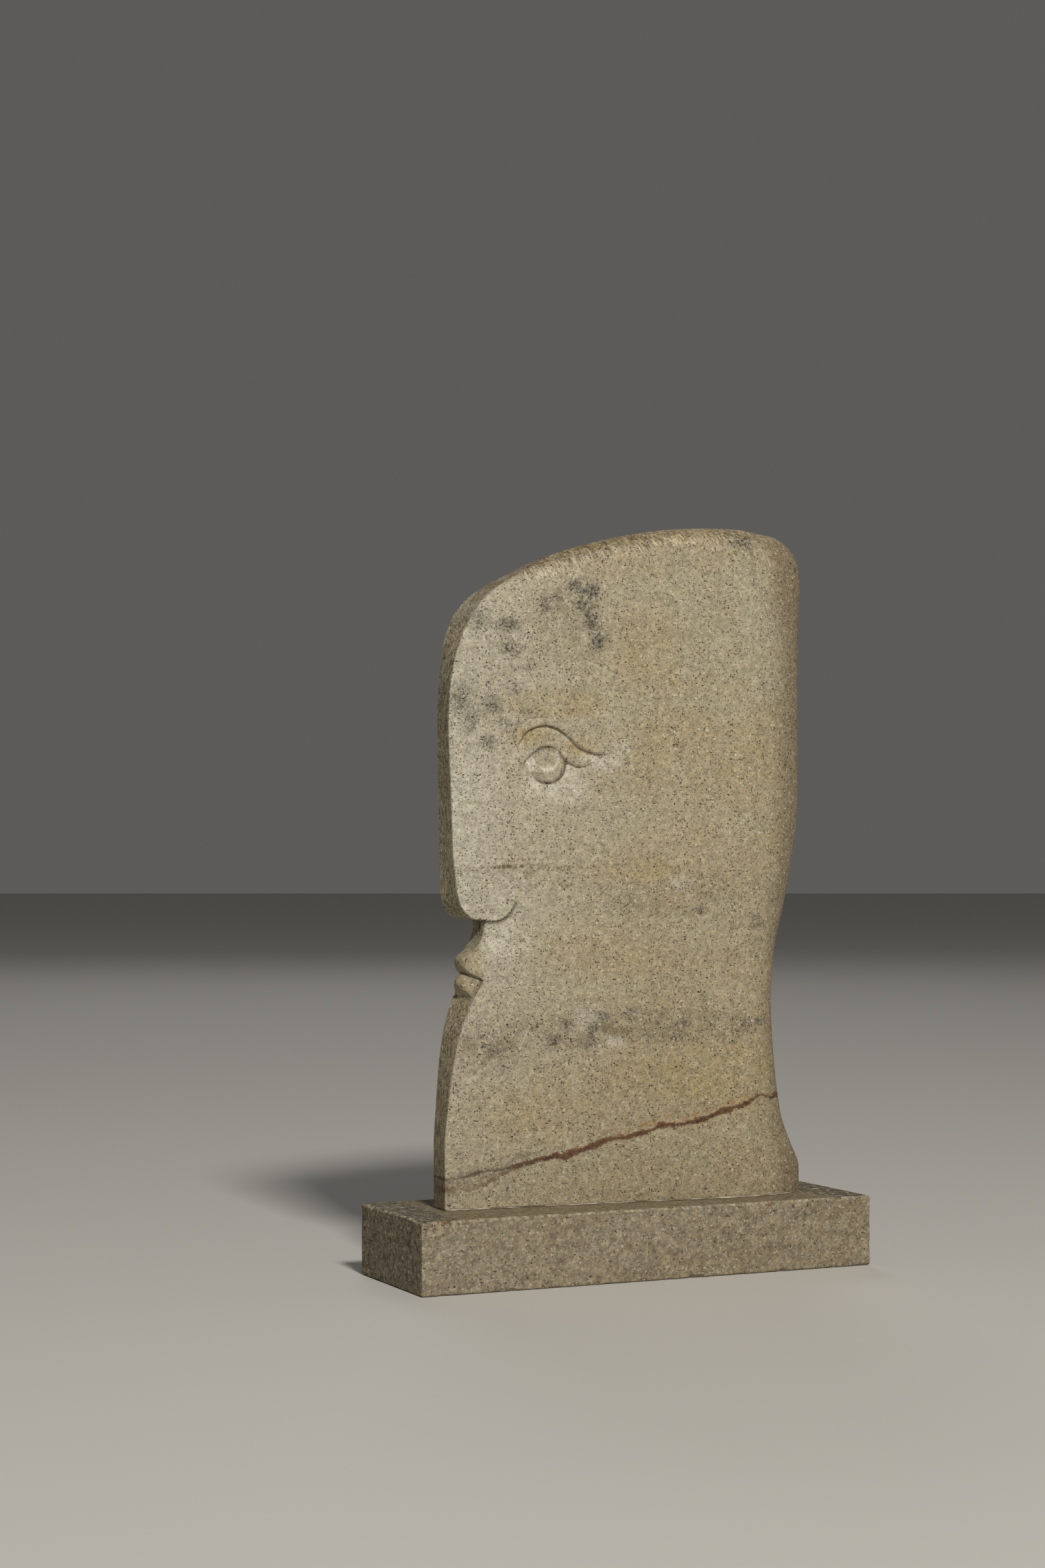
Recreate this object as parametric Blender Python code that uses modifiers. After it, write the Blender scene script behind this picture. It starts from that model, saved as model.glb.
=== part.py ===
"""A head in profile, carved from one tapering slab of stone, on a low stone plinth.

The face looks along -X and the back of the head along +X. The origin is the middle of the plinth's underside.
"""
import math

import bmesh
import bpy
import numpy as np

# the plinth, in metres
plinthLength = 0.600
plinthDepth = 0.193
plinthHeight = 0.086
plinthEdgeRound = 0.0035

# the mortar bed between the plinth and the head
bedThickness = 0.0015
bedInset = 0.0012
jointGap = 0.0003

# the head: its height, its place on the plinth and its widths across
headHeight = 0.8240
faceSetback = 0.0618
faceWidth = 0.0360
backWidth = 0.0986
arrisRound = 0.0015
crownRound = 0.0300
crownFlatShare = 0.30
backFlat = 0.0060

# the slab stops widening and starts to round off this far behind the foot of the face
backRoundStart = 0.3880

# depths of the carving
noseStep = 0.0035
lidDepth = 0.0026
eyeDepth = 0.0032
irisDepth = 0.0024
eyeCrest = 0.0004
eyeTilt = 0.0011

# The free form is drawn in millimetres on a head this high and follows headHeight from there.
# A station is (distance behind the foot of the face, height above the head's foot, lean),
# where lean is how far the near arris stands behind the middle and the far arris before it.
drawnHeight = 824.0
neckStations = ((0, 0, 0), (0, 40, 0), (0, 77, 0), (2.7, 112, 0.5), (8.7, 169, 2), (16.2, 208, 3.5),
                (24.2, 232, 5.2), (31.2, 249, 5.5))
lipCornerStations = ((31.2, 249, 5.5), (38, 257, 3.5), (43.5, 264, 2), (48, 269.2, 0))
upperLipStations = ((48, 269.2, 0), (38.5, 275, 0), (35, 284, 0), (34.5, 294, 0), (38.5, 305.6, 0))
hollowStations = ((38.5, 305.6, 0), (46.4, 317.4, 0), (49.8, 327, 0), (51.7, 341, 0))
noseStations = ((51.7, 341, 0), (40, 341.2, 1), (30.5, 343, 2.8), (21.8, 349, 3.8), (15.5, 359, 3.5),
                (12.2, 372.6, 3.2))
foreheadStations = ((12.2, 372.6, 3.2), (10.2, 396, 2.2), (8.4, 428, 1.4), (7.2, 480, 1), (4.7, 561, 0),
                    (6.2, 612, 0.2), (11, 648, 1.3), (18.6, 678, 3.4), (30.7, 704.3, 4.2))
crownStations = ((30.7, 704.3, 4.2), (50.4, 727.3, 3.5), (87.6, 751.6, 2), (139.8, 778.3, 0), (205, 799.5, 0),
                 (274.2, 814.3, 0), (340, 821.8, 0), (395, 824, 0), (438, 820.5, 0), (470, 806, 0))
backStations = ((470, 806, 0), (485.8, 784, 0), (488.8, 755, 0), (486.5, 705, 0), (484.8, 640, 0),
                (484.8, 482, 0), (474.2, 405, 0), (462.7, 354, 0), (449.8, 304, 0), (445.2, 258, 0),
                (445.2, 212, 0), (450.2, 153, 0), (457.8, 103, 0), (466, 77, 0), (484.5, 39, 0))
heelStations = ((484.5, 39, 0), (486.9, 32, 0), (486.9, 0, 0))

# how the rounding of the edge changes along the outline, in the same drawn millimetres: from a sharp
# arris to the crown's rounding, on to the back's wide one, and down from the crown's height to none
crownRoundFrom, crownRoundFull = 30, 140
backRoundFrom = 260
crownNarrowFrom = 300
crownDropFrom, crownDropFull = 690, 800

# in the middle of the face's edge the lips stand out as two rolls
lowerLipCentre = (41, 264)
lowerLipRadii = (19.5, 12.5)
lowerLipTurn = (232, 112)
upperLipMiddle = ((31.5, 275.8, 0), (25, 280.5, 0), (22.5, 289, 0), (26, 297.5, 0), (38.5, 305.6, 0))

# the lobe of the nose, the eye and the two edges of its lid
noseCentre = (60.2, 367)
noseRadius = 27
noseTurn = (80, -90)
noseUnderside = (45, 20, -10)
cheekReach = 55
eyeCentre = (129.6, 526.8)
eyeRadius = 23.8
eyeReach = 26
eyeFloor = ((84, 450), (215, 450))
irisCentre = (128.7, 534.2)
irisRadius = 16.3
irisLidGap = 0.8
lidUpperEdge = ((89.9, 546.3, 0), (102.2, 564, 0), (119.2, 572, 0), (136.2, 571, 0), (153.2, 561.7, 0),
                (170.2, 546, 0), (187.2, 540, 0), (198.4, 538.8, 0), (211.4, 545.5, 0))
lidLowerEdge = ((95.4, 519, 0), (100.4, 531.4, 0), (117, 545.5, 0), (128.2, 548.5, 0), (140.2, 545.5, 0),
                (153.2, 532, 0), (168, 524.4, 0), (181, 527.5, 0), (204, 537.5, 0))

# fineness of the solids
roundSteps = 6
edgeSteps = 8
cutterMargin = 0.005
fadeMargin = 0.0004
weldDistance = 1e-6

scale = headHeight / drawnHeight
faceX = faceSetback - plinthLength / 2
footZ = plinthHeight + bedThickness + 2 * jointGap
taper = (backWidth - faceWidth) / 2 / backRoundStart


def smoothStep(low, high, value):
    """0 below low, 1 above high and an S-shaped rise between them."""
    t = np.clip((value - low) / (high - low), 0.0, 1.0)
    return t * t * (3 - 2 * t)


def curveThrough(stations, steps):
    """A smooth curve through the stations, as a Catmull-Rom spline with even steps in each span."""
    p = np.array(stations, float)
    p = np.vstack([2 * p[0] - p[1], p, 2 * p[-1] - p[-2]])
    t = np.arange(steps)[:, None] / steps
    spans = []
    for a, b, c, d in zip(p[:-3], p[1:-2], p[2:-1], p[3:]):
        spans.append(0.5 * (2 * b + (c - a) * t + (2 * a - 5 * b + 4 * c - d) * t ** 2
                            + (3 * b - a - 3 * c + d) * t ** 3))
    return np.vstack(spans + [p[-2:-1]])


def halfWidth(x):
    """Half the slab's thickness, x metres behind the foot of the face."""
    return faceWidth / 2 + taper * np.minimum(x, backRoundStart)


def lipMiddle(steps):
    """The middle line over the lower lip: an arc of an ellipse from the chin's crease to the mouth."""
    turn = np.radians(np.linspace(lowerLipTurn[0], lowerLipTurn[1], steps))
    return np.stack([lowerLipCentre[0] + lowerLipRadii[0] * np.cos(turn),
                     lowerLipCentre[1] + lowerLipRadii[1] * np.sin(turn), 0 * turn], 1)


def outlines():
    """The outline along the arrises and along the middle of the edge, from the face's foot to the heel."""
    lipSteps = 3
    lowerArris = curveThrough(lipCornerStations, lipSteps)
    upperArris = curveThrough(upperLipStations, lipSteps)
    upperMiddle = curveThrough(upperLipMiddle, lipSteps)
    before = curveThrough(neckStations, 2)
    after = [curveThrough(hollowStations, 2), curveThrough(noseStations, 3), curveThrough(foreheadStations, 2),
             curveThrough(crownStations, 3), curveThrough(backStations, 3), curveThrough(heelStations, 2)]
    after = [run[1:] for run in after]
    arris = np.vstack([before, lowerArris[1:], upperArris[1:]] + after)
    middle = np.vstack([before, lipMiddle(len(lowerArris))[1:], upperMiddle[1:]] + after)
    return arris, middle


def insets(arris):
    """How far the rounding reaches in from each outline point, as a vector in the plane of the profile."""
    back, up = arris[:, 0], arris[:, 1]
    along = np.gradient(arris[:, :2], axis=0)
    along /= np.linalg.norm(along, axis=1)[:, None]
    inward = np.stack([along[:, 1], -along[:, 0]], 1) * arrisRound
    crest = np.argmax(up)
    behind = np.arange(len(up)) > crest
    overCrown = np.where(behind, 1.0, smoothStep(crownRoundFrom, crownRoundFull, back) * (up > noseCentre[1]))
    towardsBack = np.where(behind, 1.0, 0.0) * (back * scale - backRoundStart)
    early = smoothStep(backRoundFrom, back[crest], back) * (back[crest] * scale - backRoundStart)
    towardsBack = np.where(behind, np.maximum(towardsBack, early), np.maximum(early, 0) * overCrown)
    down = crownRound * np.where(behind, smoothStep(crownDropFrom, crownDropFull, up), 1.0)
    wide = np.stack([-towardsBack, -down], 1)
    return inward * (1 - overCrown)[:, None] + wide * overCrown[:, None], overCrown


def headRows():
    """The skin of the head as rows of points, each row running from the near face over the edge to the far face."""
    arris, middle = outlines()
    inset, overCrown = insets(arris)
    back, up = arris[:, 0], arris[:, 1]
    crest = np.argmax(up)
    behind = np.arange(len(up)) > crest
    flat = halfWidth(back * scale) - arrisRound
    crownFlat = halfWidth(back * scale) * crownFlatShare
    backwards = np.where(behind, 1.0, smoothStep(crownNarrowFrom, back[crest], back))
    rounded = crownFlat * (1 - backwards) + backFlat / 2 * backwards
    edge = flat * (1 - overCrown) + rounded * overCrown
    turn = np.linspace(math.pi / 2, 0, roundSteps + 1)
    sides = {}
    for side in (-1, 1):
        outer = arris[:, :2] * scale
        outer[:, 0] -= side * arris[:, 2] * scale
        spread = outer[:, None, :] + inset[:, None, :] * (1 - np.cos(turn))[None, :, None]
        width = edge[:, None] + (halfWidth(spread[:, :1, 0]) - edge[:, None]) * np.sin(turn)
        sides[side] = np.concatenate([spread[..., :1], side * width[..., None], spread[..., 1:]], 2)
    across = np.linspace(0, math.pi, edgeSteps + 1)[1:-1]
    share = (1 - np.cos(across)) / 2
    near, far = sides[-1][:, -1], sides[1][:, -1]
    strip = near[:, None] * (1 - share)[None, :, None] + far[:, None] * share[None, :, None]
    bulge = (middle - arris)[:, :2] * scale
    strip[..., 0] += bulge[:, :1] * np.sin(across)
    strip[..., 2] += bulge[:, 1:] * np.sin(across)
    return np.concatenate([sides[-1], strip, sides[1][:, ::-1]], 1)


def addObject(name, points, faces, collection, material=None):
    """A mesh object made of the given points and faces, with its faces turned outward."""
    mesh = bpy.data.meshes.new(name)
    mesh.from_pydata([tuple(p) for p in points], [], [tuple(int(i) for i in f) for f in faces])
    shape = bmesh.new()
    shape.from_mesh(mesh)
    bmesh.ops.remove_doubles(shape, verts=shape.verts, dist=weldDistance)
    bmesh.ops.recalc_face_normals(shape, faces=shape.faces)
    shape.to_mesh(mesh)
    shape.free()
    thing = bpy.data.objects.new(name, mesh)
    collection.objects.link(thing)
    if material:
        mesh.materials.append(material)
    return thing


def gridFaces(index):
    """Four-sided faces between neighbouring points of a grid, given the points' numbers."""
    return np.stack([index[:-1, :-1], index[:-1, 1:], index[1:, 1:], index[1:, :-1]], -1).reshape(-1, 4).tolist()


def makeStone(name, colour, roughness):
    """A plain matt stone."""
    stone = bpy.data.materials.new(name)
    stone.use_nodes = True
    shader = stone.node_tree.nodes["Principled BSDF"]
    shader.inputs["Base Color"].default_value = (*colour, 1)
    shader.inputs["Roughness"].default_value = roughness
    shader.inputs["Metallic"].default_value = 0.0
    return stone


def buildPlinth(collection):
    """The plinth: a low block with worn edges."""
    bpy.ops.mesh.primitive_cube_add(size=1, location=(0, 0, plinthHeight / 2))
    plinth = bpy.context.object
    plinth.name = "plinth"
    plinth.data.name = "plinth"
    for corner in plinth.data.vertices:
        corner.co.x *= plinthLength
        corner.co.y *= plinthDepth
        corner.co.z *= plinthHeight
    bevel = plinth.modifiers.new("wornEdges", "BEVEL")
    bevel.width = plinthEdgeRound
    bevel.segments = 3
    for home in list(plinth.users_collection):
        home.objects.unlink(plinth)
    collection.objects.link(plinth)
    plinth.data.materials.append(makeStone("greyStone", (0.36, 0.32, 0.26), 0.9))
    return plinth


def buildHead(collection):
    """The head's slab: rounded crown and back, sharp face, with flat sides between the rounded parts."""
    rows = headRows()
    rowCount, columnCount = rows.shape[:2]
    index = np.arange(rowCount * columnCount).reshape(rowCount, columnCount)
    faces = gridFaces(index)
    faces.append(index[:, 0].tolist())
    faces.append(index[::-1, -1].tolist())
    faces.append(index[0, :].tolist() + index[-1, ::-1].tolist())
    head = addObject("head", rows.reshape(-1, 3), faces, collection, makeStone("warmStone", (0.52, 0.44, 0.32), 0.9))
    head.location = (faceX, 0, footZ)
    return head


def buildBed(collection):
    """The mortar bed: the foot's outline, a little smaller, spread between head and plinth."""
    rows = headRows()
    outline = np.vstack([rows[0, :, :2], rows[-1, ::-1, :2]])
    ahead = np.roll(outline, -1, 0) - outline
    behind = outline - np.roll(outline, 1, 0)
    along = ahead / np.linalg.norm(ahead, axis=1)[:, None] + behind / np.linalg.norm(behind, axis=1)[:, None]
    along /= np.linalg.norm(along, axis=1)[:, None]
    area = np.sum(outline[:, 0] * np.roll(outline[:, 1], -1) - outline[:, 1] * np.roll(outline[:, 0], -1))
    inward = np.stack([-along[:, 1], along[:, 0]], 1) * math.copysign(1, area)
    outline = outline + inward * bedInset
    count = len(outline)
    points = np.vstack([np.column_stack([outline, np.full(count, z)]) for z in (0.0, bedThickness)])
    faces = [list(range(count)), list(range(count, 2 * count))]
    faces += [[i, (i + 1) % count, (i + 1) % count + count, i + count] for i in range(count)]
    bed = addObject("mortar_bed", points, faces, collection, makeStone("limeMortar", (0.62, 0.57, 0.47), 0.95))
    bed.location = (faceX, 0, plinthHeight + jointGap)
    return bed


def reliefCutter(name, places, depths, collection, clear=cutterMargin, disc=False):
    """A cutter for both sides of the head: it reaches from outside the side down to the given depths.

    places is a grid of (back, up) points in drawn millimetres and depths holds metres below the side.
    A disc's rows are rays from one middle point, and its last ray joins the first.
    """
    rowCount, columnCount = depths.shape
    x, z = places[..., 0] * scale, places[..., 1] * scale
    points, faces = [], []
    for side in (-1, 1):
        start = len(points) * rowCount * columnCount
        points.append(np.stack([x, side * (halfWidth(x) - depths), z], -1).reshape(-1, 3))
        points.append(np.stack([x, side * (halfWidth(x) + clear), z], -1).reshape(-1, 3))
        index = np.arange(rowCount * columnCount).reshape(rowCount, columnCount) + start
        top = index + rowCount * columnCount
        if disc:
            index, top = np.vstack([index, index[:1]]), np.vstack([top, top[:1]])
            rims = [(index[:, -1], top[:, -1])]
        else:
            rims = [(index[:, 0], top[:, 0]), (index[:, -1], top[:, -1]), (index[0], top[0]), (index[-1], top[-1])]
        faces += gridFaces(index) + gridFaces(top)
        for low, high in rims:
            faces += np.stack([low[:-1], low[1:], high[1:], high[:-1]], -1).tolist()
    cutter = addObject(name, np.vstack(points), faces, collection)
    cutter.location = (faceX, 0, footZ)
    cutter.hide_render = True
    cutter.display_type = "WIRE"
    return cutter


def applyBoolean(thing, cutter, operation, name):
    """Cuts or limits one solid by another."""
    modifier = thing.modifiers.new(name, "BOOLEAN")
    modifier.operation = operation
    modifier.object = cutter
    modifier.solver = "EXACT"


def buildCheekCutter(collection):
    """What is taken off behind and below the nose's lobe, fading out over the cheek."""
    turn = np.linspace(noseTurn[0], noseTurn[1], 18)
    arc = np.stack([noseCentre[0] + noseRadius * np.cos(np.radians(turn)),
                    noseCentre[1] + noseRadius * np.sin(np.radians(turn))], 1)
    outward = np.stack([np.cos(np.radians(turn)), np.sin(np.radians(turn))], 1)
    level = np.array([(back, arc[-1, 1]) for back in noseUnderside])
    start = np.vstack([arc, level])
    outward = np.vstack([outward, [[0, -1]] * len(level)])
    strength = np.append(smoothStep(-80, -30, -turn), np.ones(len(level)))
    reach = np.linspace(0, 1, 6)
    places = start[:, None] + outward[:, None] * reach[None, :, None] * cheekReach
    depths = noseStep * strength[:, None] * (1 - reach) ** 1.6 - fadeMargin * np.maximum(reach, 1 - strength[:, None])
    return reliefCutter("cheekCutter", places, depths, collection)


def buildLidCutter(collection):
    """The lid: a band sunk along its upper edge and level with the side along its lower edge."""
    upper = curveThrough(lidUpperEdge, 3)[:, :2]
    lower = curveThrough(lidLowerEdge, 3)[:, :2]
    across = np.linspace(0, 1, 3)
    places = upper[:, None] * (1 - across)[None, :, None] + lower[:, None] * across[None, :, None]
    along = np.linspace(0, 1, len(upper))
    strength = smoothStep(0, 0.12, along) * smoothStep(0, 0.12, 1 - along)
    depths = lidDepth * strength[:, None] * (1 - across) ** 0.8
    depths -= fadeMargin * np.maximum(across, 1 - strength[:, None])
    return reliefCutter("lidCutter", places, depths, collection)


def buildEyeCutters(collection):
    """The hollow round the eyeball and the flat iris, both kept below the lid's lower edge."""
    turn = np.radians(np.arange(0, 360, 10))
    onBall = np.linspace(0, 1, 7)
    beyond = np.linspace(0.03, 1, 5)
    reach = np.concatenate([onBall * eyeRadius, eyeRadius + beyond * eyeReach])
    ray = np.stack([np.cos(turn), np.sin(turn)], 1)
    places = np.array(eyeCentre) + ray[:, None] * reach[None, :, None]
    ball = eyeDepth - (eyeDepth - eyeCrest) * np.sqrt(1 - onBall ** 2)
    cheek = eyeDepth * (1 - beyond) ** 1.5 - fadeMargin * beyond
    tilt = eyeTilt * np.clip(ray[:, 1:], 0, 1) * (reach / eyeRadius) * (reach <= eyeRadius)
    depths = np.concatenate([ball, cheek])[None] + tilt
    eye = reliefCutter("eyeCutter", places, depths, collection, disc=True)
    rings = np.array([0, 1]) * irisRadius
    disc = np.array(irisCentre) + ray[:, None] * rings[None, :, None]
    iris = reliefCutter("irisCutter", disc, np.full((len(turn), 2), irisDepth), collection, disc=True)
    lower = curveThrough(lidLowerEdge, 3)[:, :2]
    floor = np.linspace(eyeFloor[0], eyeFloor[1], len(lower))
    for thing, gap in ((eye, 0), (iris, irisLidGap)):
        below = np.stack([lower - (0, gap), floor], 1)
        depths = np.full(below.shape[:2], cutterMargin)
        keep = reliefCutter("belowLidFor" + thing.name.capitalize(), below, depths, collection, 2 * cutterMargin)
        applyBoolean(thing, keep, "INTERSECT", "keepBelowLid")
    return eye, iris


def build():
    for thing in list(bpy.data.objects):
        bpy.data.objects.remove(thing)
    sculpture = bpy.data.collections.new("HeadSculpture")
    cutters = bpy.data.collections.new("Cutters")
    bpy.context.scene.collection.children.link(sculpture)
    bpy.context.scene.collection.children.link(cutters)
    buildPlinth(sculpture)
    buildBed(sculpture)
    head = buildHead(sculpture)
    for cutter in (buildCheekCutter(cutters), buildLidCutter(cutters), *buildEyeCutters(cutters)):
        applyBoolean(head, cutter, "DIFFERENCE", cutter.name)


build()
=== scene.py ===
import functools
import math

import bmesh
import bpy
import numpy as np
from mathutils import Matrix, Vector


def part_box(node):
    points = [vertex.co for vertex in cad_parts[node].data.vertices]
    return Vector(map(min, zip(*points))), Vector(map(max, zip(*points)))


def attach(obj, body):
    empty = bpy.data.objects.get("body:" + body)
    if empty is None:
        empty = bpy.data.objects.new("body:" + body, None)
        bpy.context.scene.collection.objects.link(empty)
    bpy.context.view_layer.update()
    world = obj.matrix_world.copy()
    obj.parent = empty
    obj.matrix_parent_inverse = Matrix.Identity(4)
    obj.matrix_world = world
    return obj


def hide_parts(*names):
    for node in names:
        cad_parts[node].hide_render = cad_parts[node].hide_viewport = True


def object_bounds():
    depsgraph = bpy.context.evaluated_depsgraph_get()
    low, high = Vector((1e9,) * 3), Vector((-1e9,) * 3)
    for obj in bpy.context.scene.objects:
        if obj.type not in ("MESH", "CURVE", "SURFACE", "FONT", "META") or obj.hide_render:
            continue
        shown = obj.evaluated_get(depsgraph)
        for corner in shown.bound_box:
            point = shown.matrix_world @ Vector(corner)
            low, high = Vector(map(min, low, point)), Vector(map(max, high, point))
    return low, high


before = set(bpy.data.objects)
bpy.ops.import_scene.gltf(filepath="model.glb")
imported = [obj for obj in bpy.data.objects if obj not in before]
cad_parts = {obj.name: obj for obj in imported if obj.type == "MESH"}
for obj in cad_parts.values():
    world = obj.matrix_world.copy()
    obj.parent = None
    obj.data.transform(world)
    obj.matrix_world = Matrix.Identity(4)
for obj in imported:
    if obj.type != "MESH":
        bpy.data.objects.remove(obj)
cadLow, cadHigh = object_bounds()
print("frame loaded:", sorted(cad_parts))


# the camera first: level, looking a little to the right past the sculpture's near side

cameraPlace = {
    "location": (-1.4393, -2.8540, 0.4855),   # metres
    "turn": -24.65,                            # degrees round the vertical
    "lens": 60.0,                              # millimetres, on a 36 mm long side
    "rise": 0.0563,                            # shift that puts the sculpture low in the frame
}


def placeCamera():
    # a camera at the photograph's viewing angle, upright, with a small vertical shift
    eye = bpy.data.cameras.new("camera")
    eye.lens = cameraPlace["lens"]
    eye.sensor_width = 36.0
    eye.shift_y = cameraPlace["rise"]
    eye.clip_start = 0.05
    eye.clip_end = 60.0
    holder = bpy.data.objects.new("camera", eye)
    holder.location = cameraPlace["location"]
    holder.rotation_euler = (math.radians(90), 0, math.radians(cameraPlace["turn"]))
    bpy.context.scene.collection.objects.link(holder)
    bpy.context.scene.camera = holder
    # colours come out as their hex values under even light, with the contrast of an ordinary photograph
    bpy.context.scene.view_settings.view_transform = "Standard"


placeCamera()


# small helpers

def smoothStep(low, high, value):
    # 0 before low, 1 after high, an S-shaped rise between
    t = np.clip((value - low) / (high - low), 0.0, 1.0)
    return t * t * (3 - 2 * t)


def curveThrough(stations, steps=20):
    # Catmull-Rom spline: each span is a cubic that takes its slopes from the stations on either side
    p = np.array(stations, float)
    p = np.vstack([2 * p[0] - p[1], p, 2 * p[-1] - p[-2]])
    t = np.arange(steps)[:, None] / steps
    spans = []
    for a, b, c, d in zip(p[:-3], p[1:-2], p[2:-1], p[3:]):
        spans.append(0.5 * (2 * b + (c - a) * t + (2 * a - 5 * b + 4 * c - d) * t ** 2
                            + (3 * b - a - 3 * c + d) * t ** 3))
    return np.vstack(spans + [p[-2:-1]])


def pickAlong(points, gap):
    # places along a line of points, as fractional numbers, about gap apart at each point
    step = np.linalg.norm(np.diff(points[:, :2], axis=0), axis=1)
    passed = np.concatenate([[0], np.cumsum(step * (1 / gap[1:] + 1 / gap[:-1]) / 2)])
    count = max(int(round(passed[-1])), 1)
    return np.interp(np.linspace(0, passed[-1], count + 1), passed, np.arange(len(points)))


def at(values, place):
    # rows of an array at fractional places
    index = np.arange(len(values))
    return np.stack([np.interp(place, index, column) for column in values.T], -1)


def lumps(places, size, seed):
    # value noise from -1 to 1: random heights on a lattice, joined by smooth steps
    shuffle = np.random.default_rng(seed).permutation(256)
    heights = np.random.default_rng(seed + 1).uniform(-1, 1, 256)
    p = np.asarray(places, float) / size
    cell = np.floor(p).astype(int)
    part = p - cell
    part = part * part * (3 - 2 * part)
    total = 0
    for corner in np.ndindex(*(2,) * p.shape[-1]):
        key, weight = 0, 1.0
        for axis, step in enumerate(corner):
            key = shuffle[(cell[..., axis] + step + key) & 255]
            weight = weight * (part[..., axis] if step else 1 - part[..., axis])
        total = total + heights[key] * weight
    return total


def nearLine(x, z, line):
    # signed distance to a line of points, positive on its left, and how far along it the nearest point is, 0 to 1
    start, way = line[:-1], np.diff(line, axis=0)
    length = np.linalg.norm(way, axis=1)
    passed = np.concatenate([[0], np.cumsum(length)])
    best, sign, along = np.full(x.shape, 1e9), np.ones(x.shape), np.zeros(x.shape)
    for a, w, l, before in zip(start, way, length, passed):
        dx, dz = x - a[0], z - a[1]
        t = np.clip((dx * w[0] + dz * w[1]) / l ** 2, 0, 1)
        gap = np.hypot(dx - t * w[0], dz - t * w[1])
        closer = gap < best
        best = np.where(closer, gap, best)
        sign = np.where(closer, np.sign(w[0] * dz - w[1] * dx), sign)
        along = np.where(closer, (before + t * l) / passed[-1], along)
    return best * sign, along


def gridFaces(number):
    # the four-sided faces between the points of a grid, row by row
    return np.stack([number[:-1, :-1], number[:-1, 1:], number[1:, 1:], number[1:, :-1]], -1).reshape(-1, 4).tolist()


def between(pair, share):
    # the first of a pair at share 0, the second at 1, and evenly mixed between
    return pair[0] * (1 - share) + pair[1] * share


def near(x, z, window):
    # whether places are inside a window: middle and reach across, middle and reach up
    return (np.abs(x - window[0]) < window[1]) & (np.abs(z - window[2]) < window[3])


def makePiece(name, points, faces, material, sharpAngle=60):
    # a mesh object in the frame's own metres, doubles merged, faces outward, shaded smooth up to sharpAngle
    mesh = bpy.data.meshes.new(name)
    mesh.from_pydata(np.asarray(points, float).tolist(), [], faces)
    shape = bmesh.new()
    shape.from_mesh(mesh)
    bmesh.ops.remove_doubles(shape, verts=shape.verts, dist=2e-6)
    loose = [v for v in shape.verts if not v.link_faces]
    bmesh.ops.delete(shape, geom=loose, context="VERTS")
    bmesh.ops.recalc_face_normals(shape, faces=shape.faces)
    openEdges = sum(len(edge.link_faces) != 2 for edge in shape.edges)
    triangles = sum(len(face.verts) - 2 for face in shape.faces)
    shape.to_mesh(mesh)
    shape.free()
    mesh.polygons.foreach_set("use_smooth", np.ones(len(mesh.polygons), bool))
    mesh.set_sharp_from_angle(angle=math.radians(sharpAngle))
    mesh.materials.append(material)
    piece = bpy.data.objects.new(name, mesh)
    bpy.context.scene.collection.objects.link(piece)
    print(f"{name}: {triangles} triangles, {openEdges} open edges")
    return piece


def cornersOf(mesh):
    # the points of a mesh as rows of x, y and z
    places = np.empty(len(mesh.vertices) * 3)
    mesh.vertices.foreach_get("co", places)
    return places.reshape(-1, 3)


def giveField(mesh, name, values):
    # one number for each point of the mesh, which a material reads as an attribute
    field = mesh.attributes.new(name, "FLOAT", "POINT")
    field.data.foreach_set("value", np.asarray(values, np.float32))


def linear(colour):
    # an sRGB hex colour as linear red, green, blue and alpha
    parts = [int(colour[i:i + 2], 16) / 255 for i in (1, 3, 5)]
    return tuple(c / 12.92 if c <= 0.04045 else ((c + 0.055) / 1.055) ** 2.4 for c in parts) + (1.0,)


def addNode(tree, kind, inputs=(), out=0, **settings):
    # One shader node with its settings and inputs. The inputs are sockets or plain values, in the order of the node's
    # sockets or in a dictionary by name or number. Gives one output.
    node = tree.nodes.new("ShaderNode" + kind)
    for setting, value in settings.items():
        setattr(node, setting, value)
    for key, value in inputs.items() if isinstance(inputs, dict) else enumerate(inputs):
        if isinstance(value, bpy.types.NodeSocket):
            tree.links.new(value, node.inputs[key])
        else:
            node.inputs[key].default_value = value
    return node.outputs[out] if len(node.outputs) else node


def emptyMaterial(name):
    # a material with no nodes yet, and addNode for its tree
    material = bpy.data.materials.new(name)
    material.use_nodes = True
    material.node_tree.nodes.clear()
    return material, functools.partial(addNode, material.node_tree)


# the stone and the mortar

# what both stones share, sizes in millimetres: chisel lines and how much they stand out, crowds of flecks, how deep a
# lost flake is, and the size and height of what frays the threads, their gaps, their swelling and their soft edge
stonePattern = {
    "lineSize": 4.0, "lineRelief": 3.0, "crowdSize": 11, "flakeDent": 0.4,
    "wideFray": (30, 7), "fineFray": (5.0, 5.5), "gapSize": 8, "swellSize": 34, "threadEdge": 0.8,
}


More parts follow.
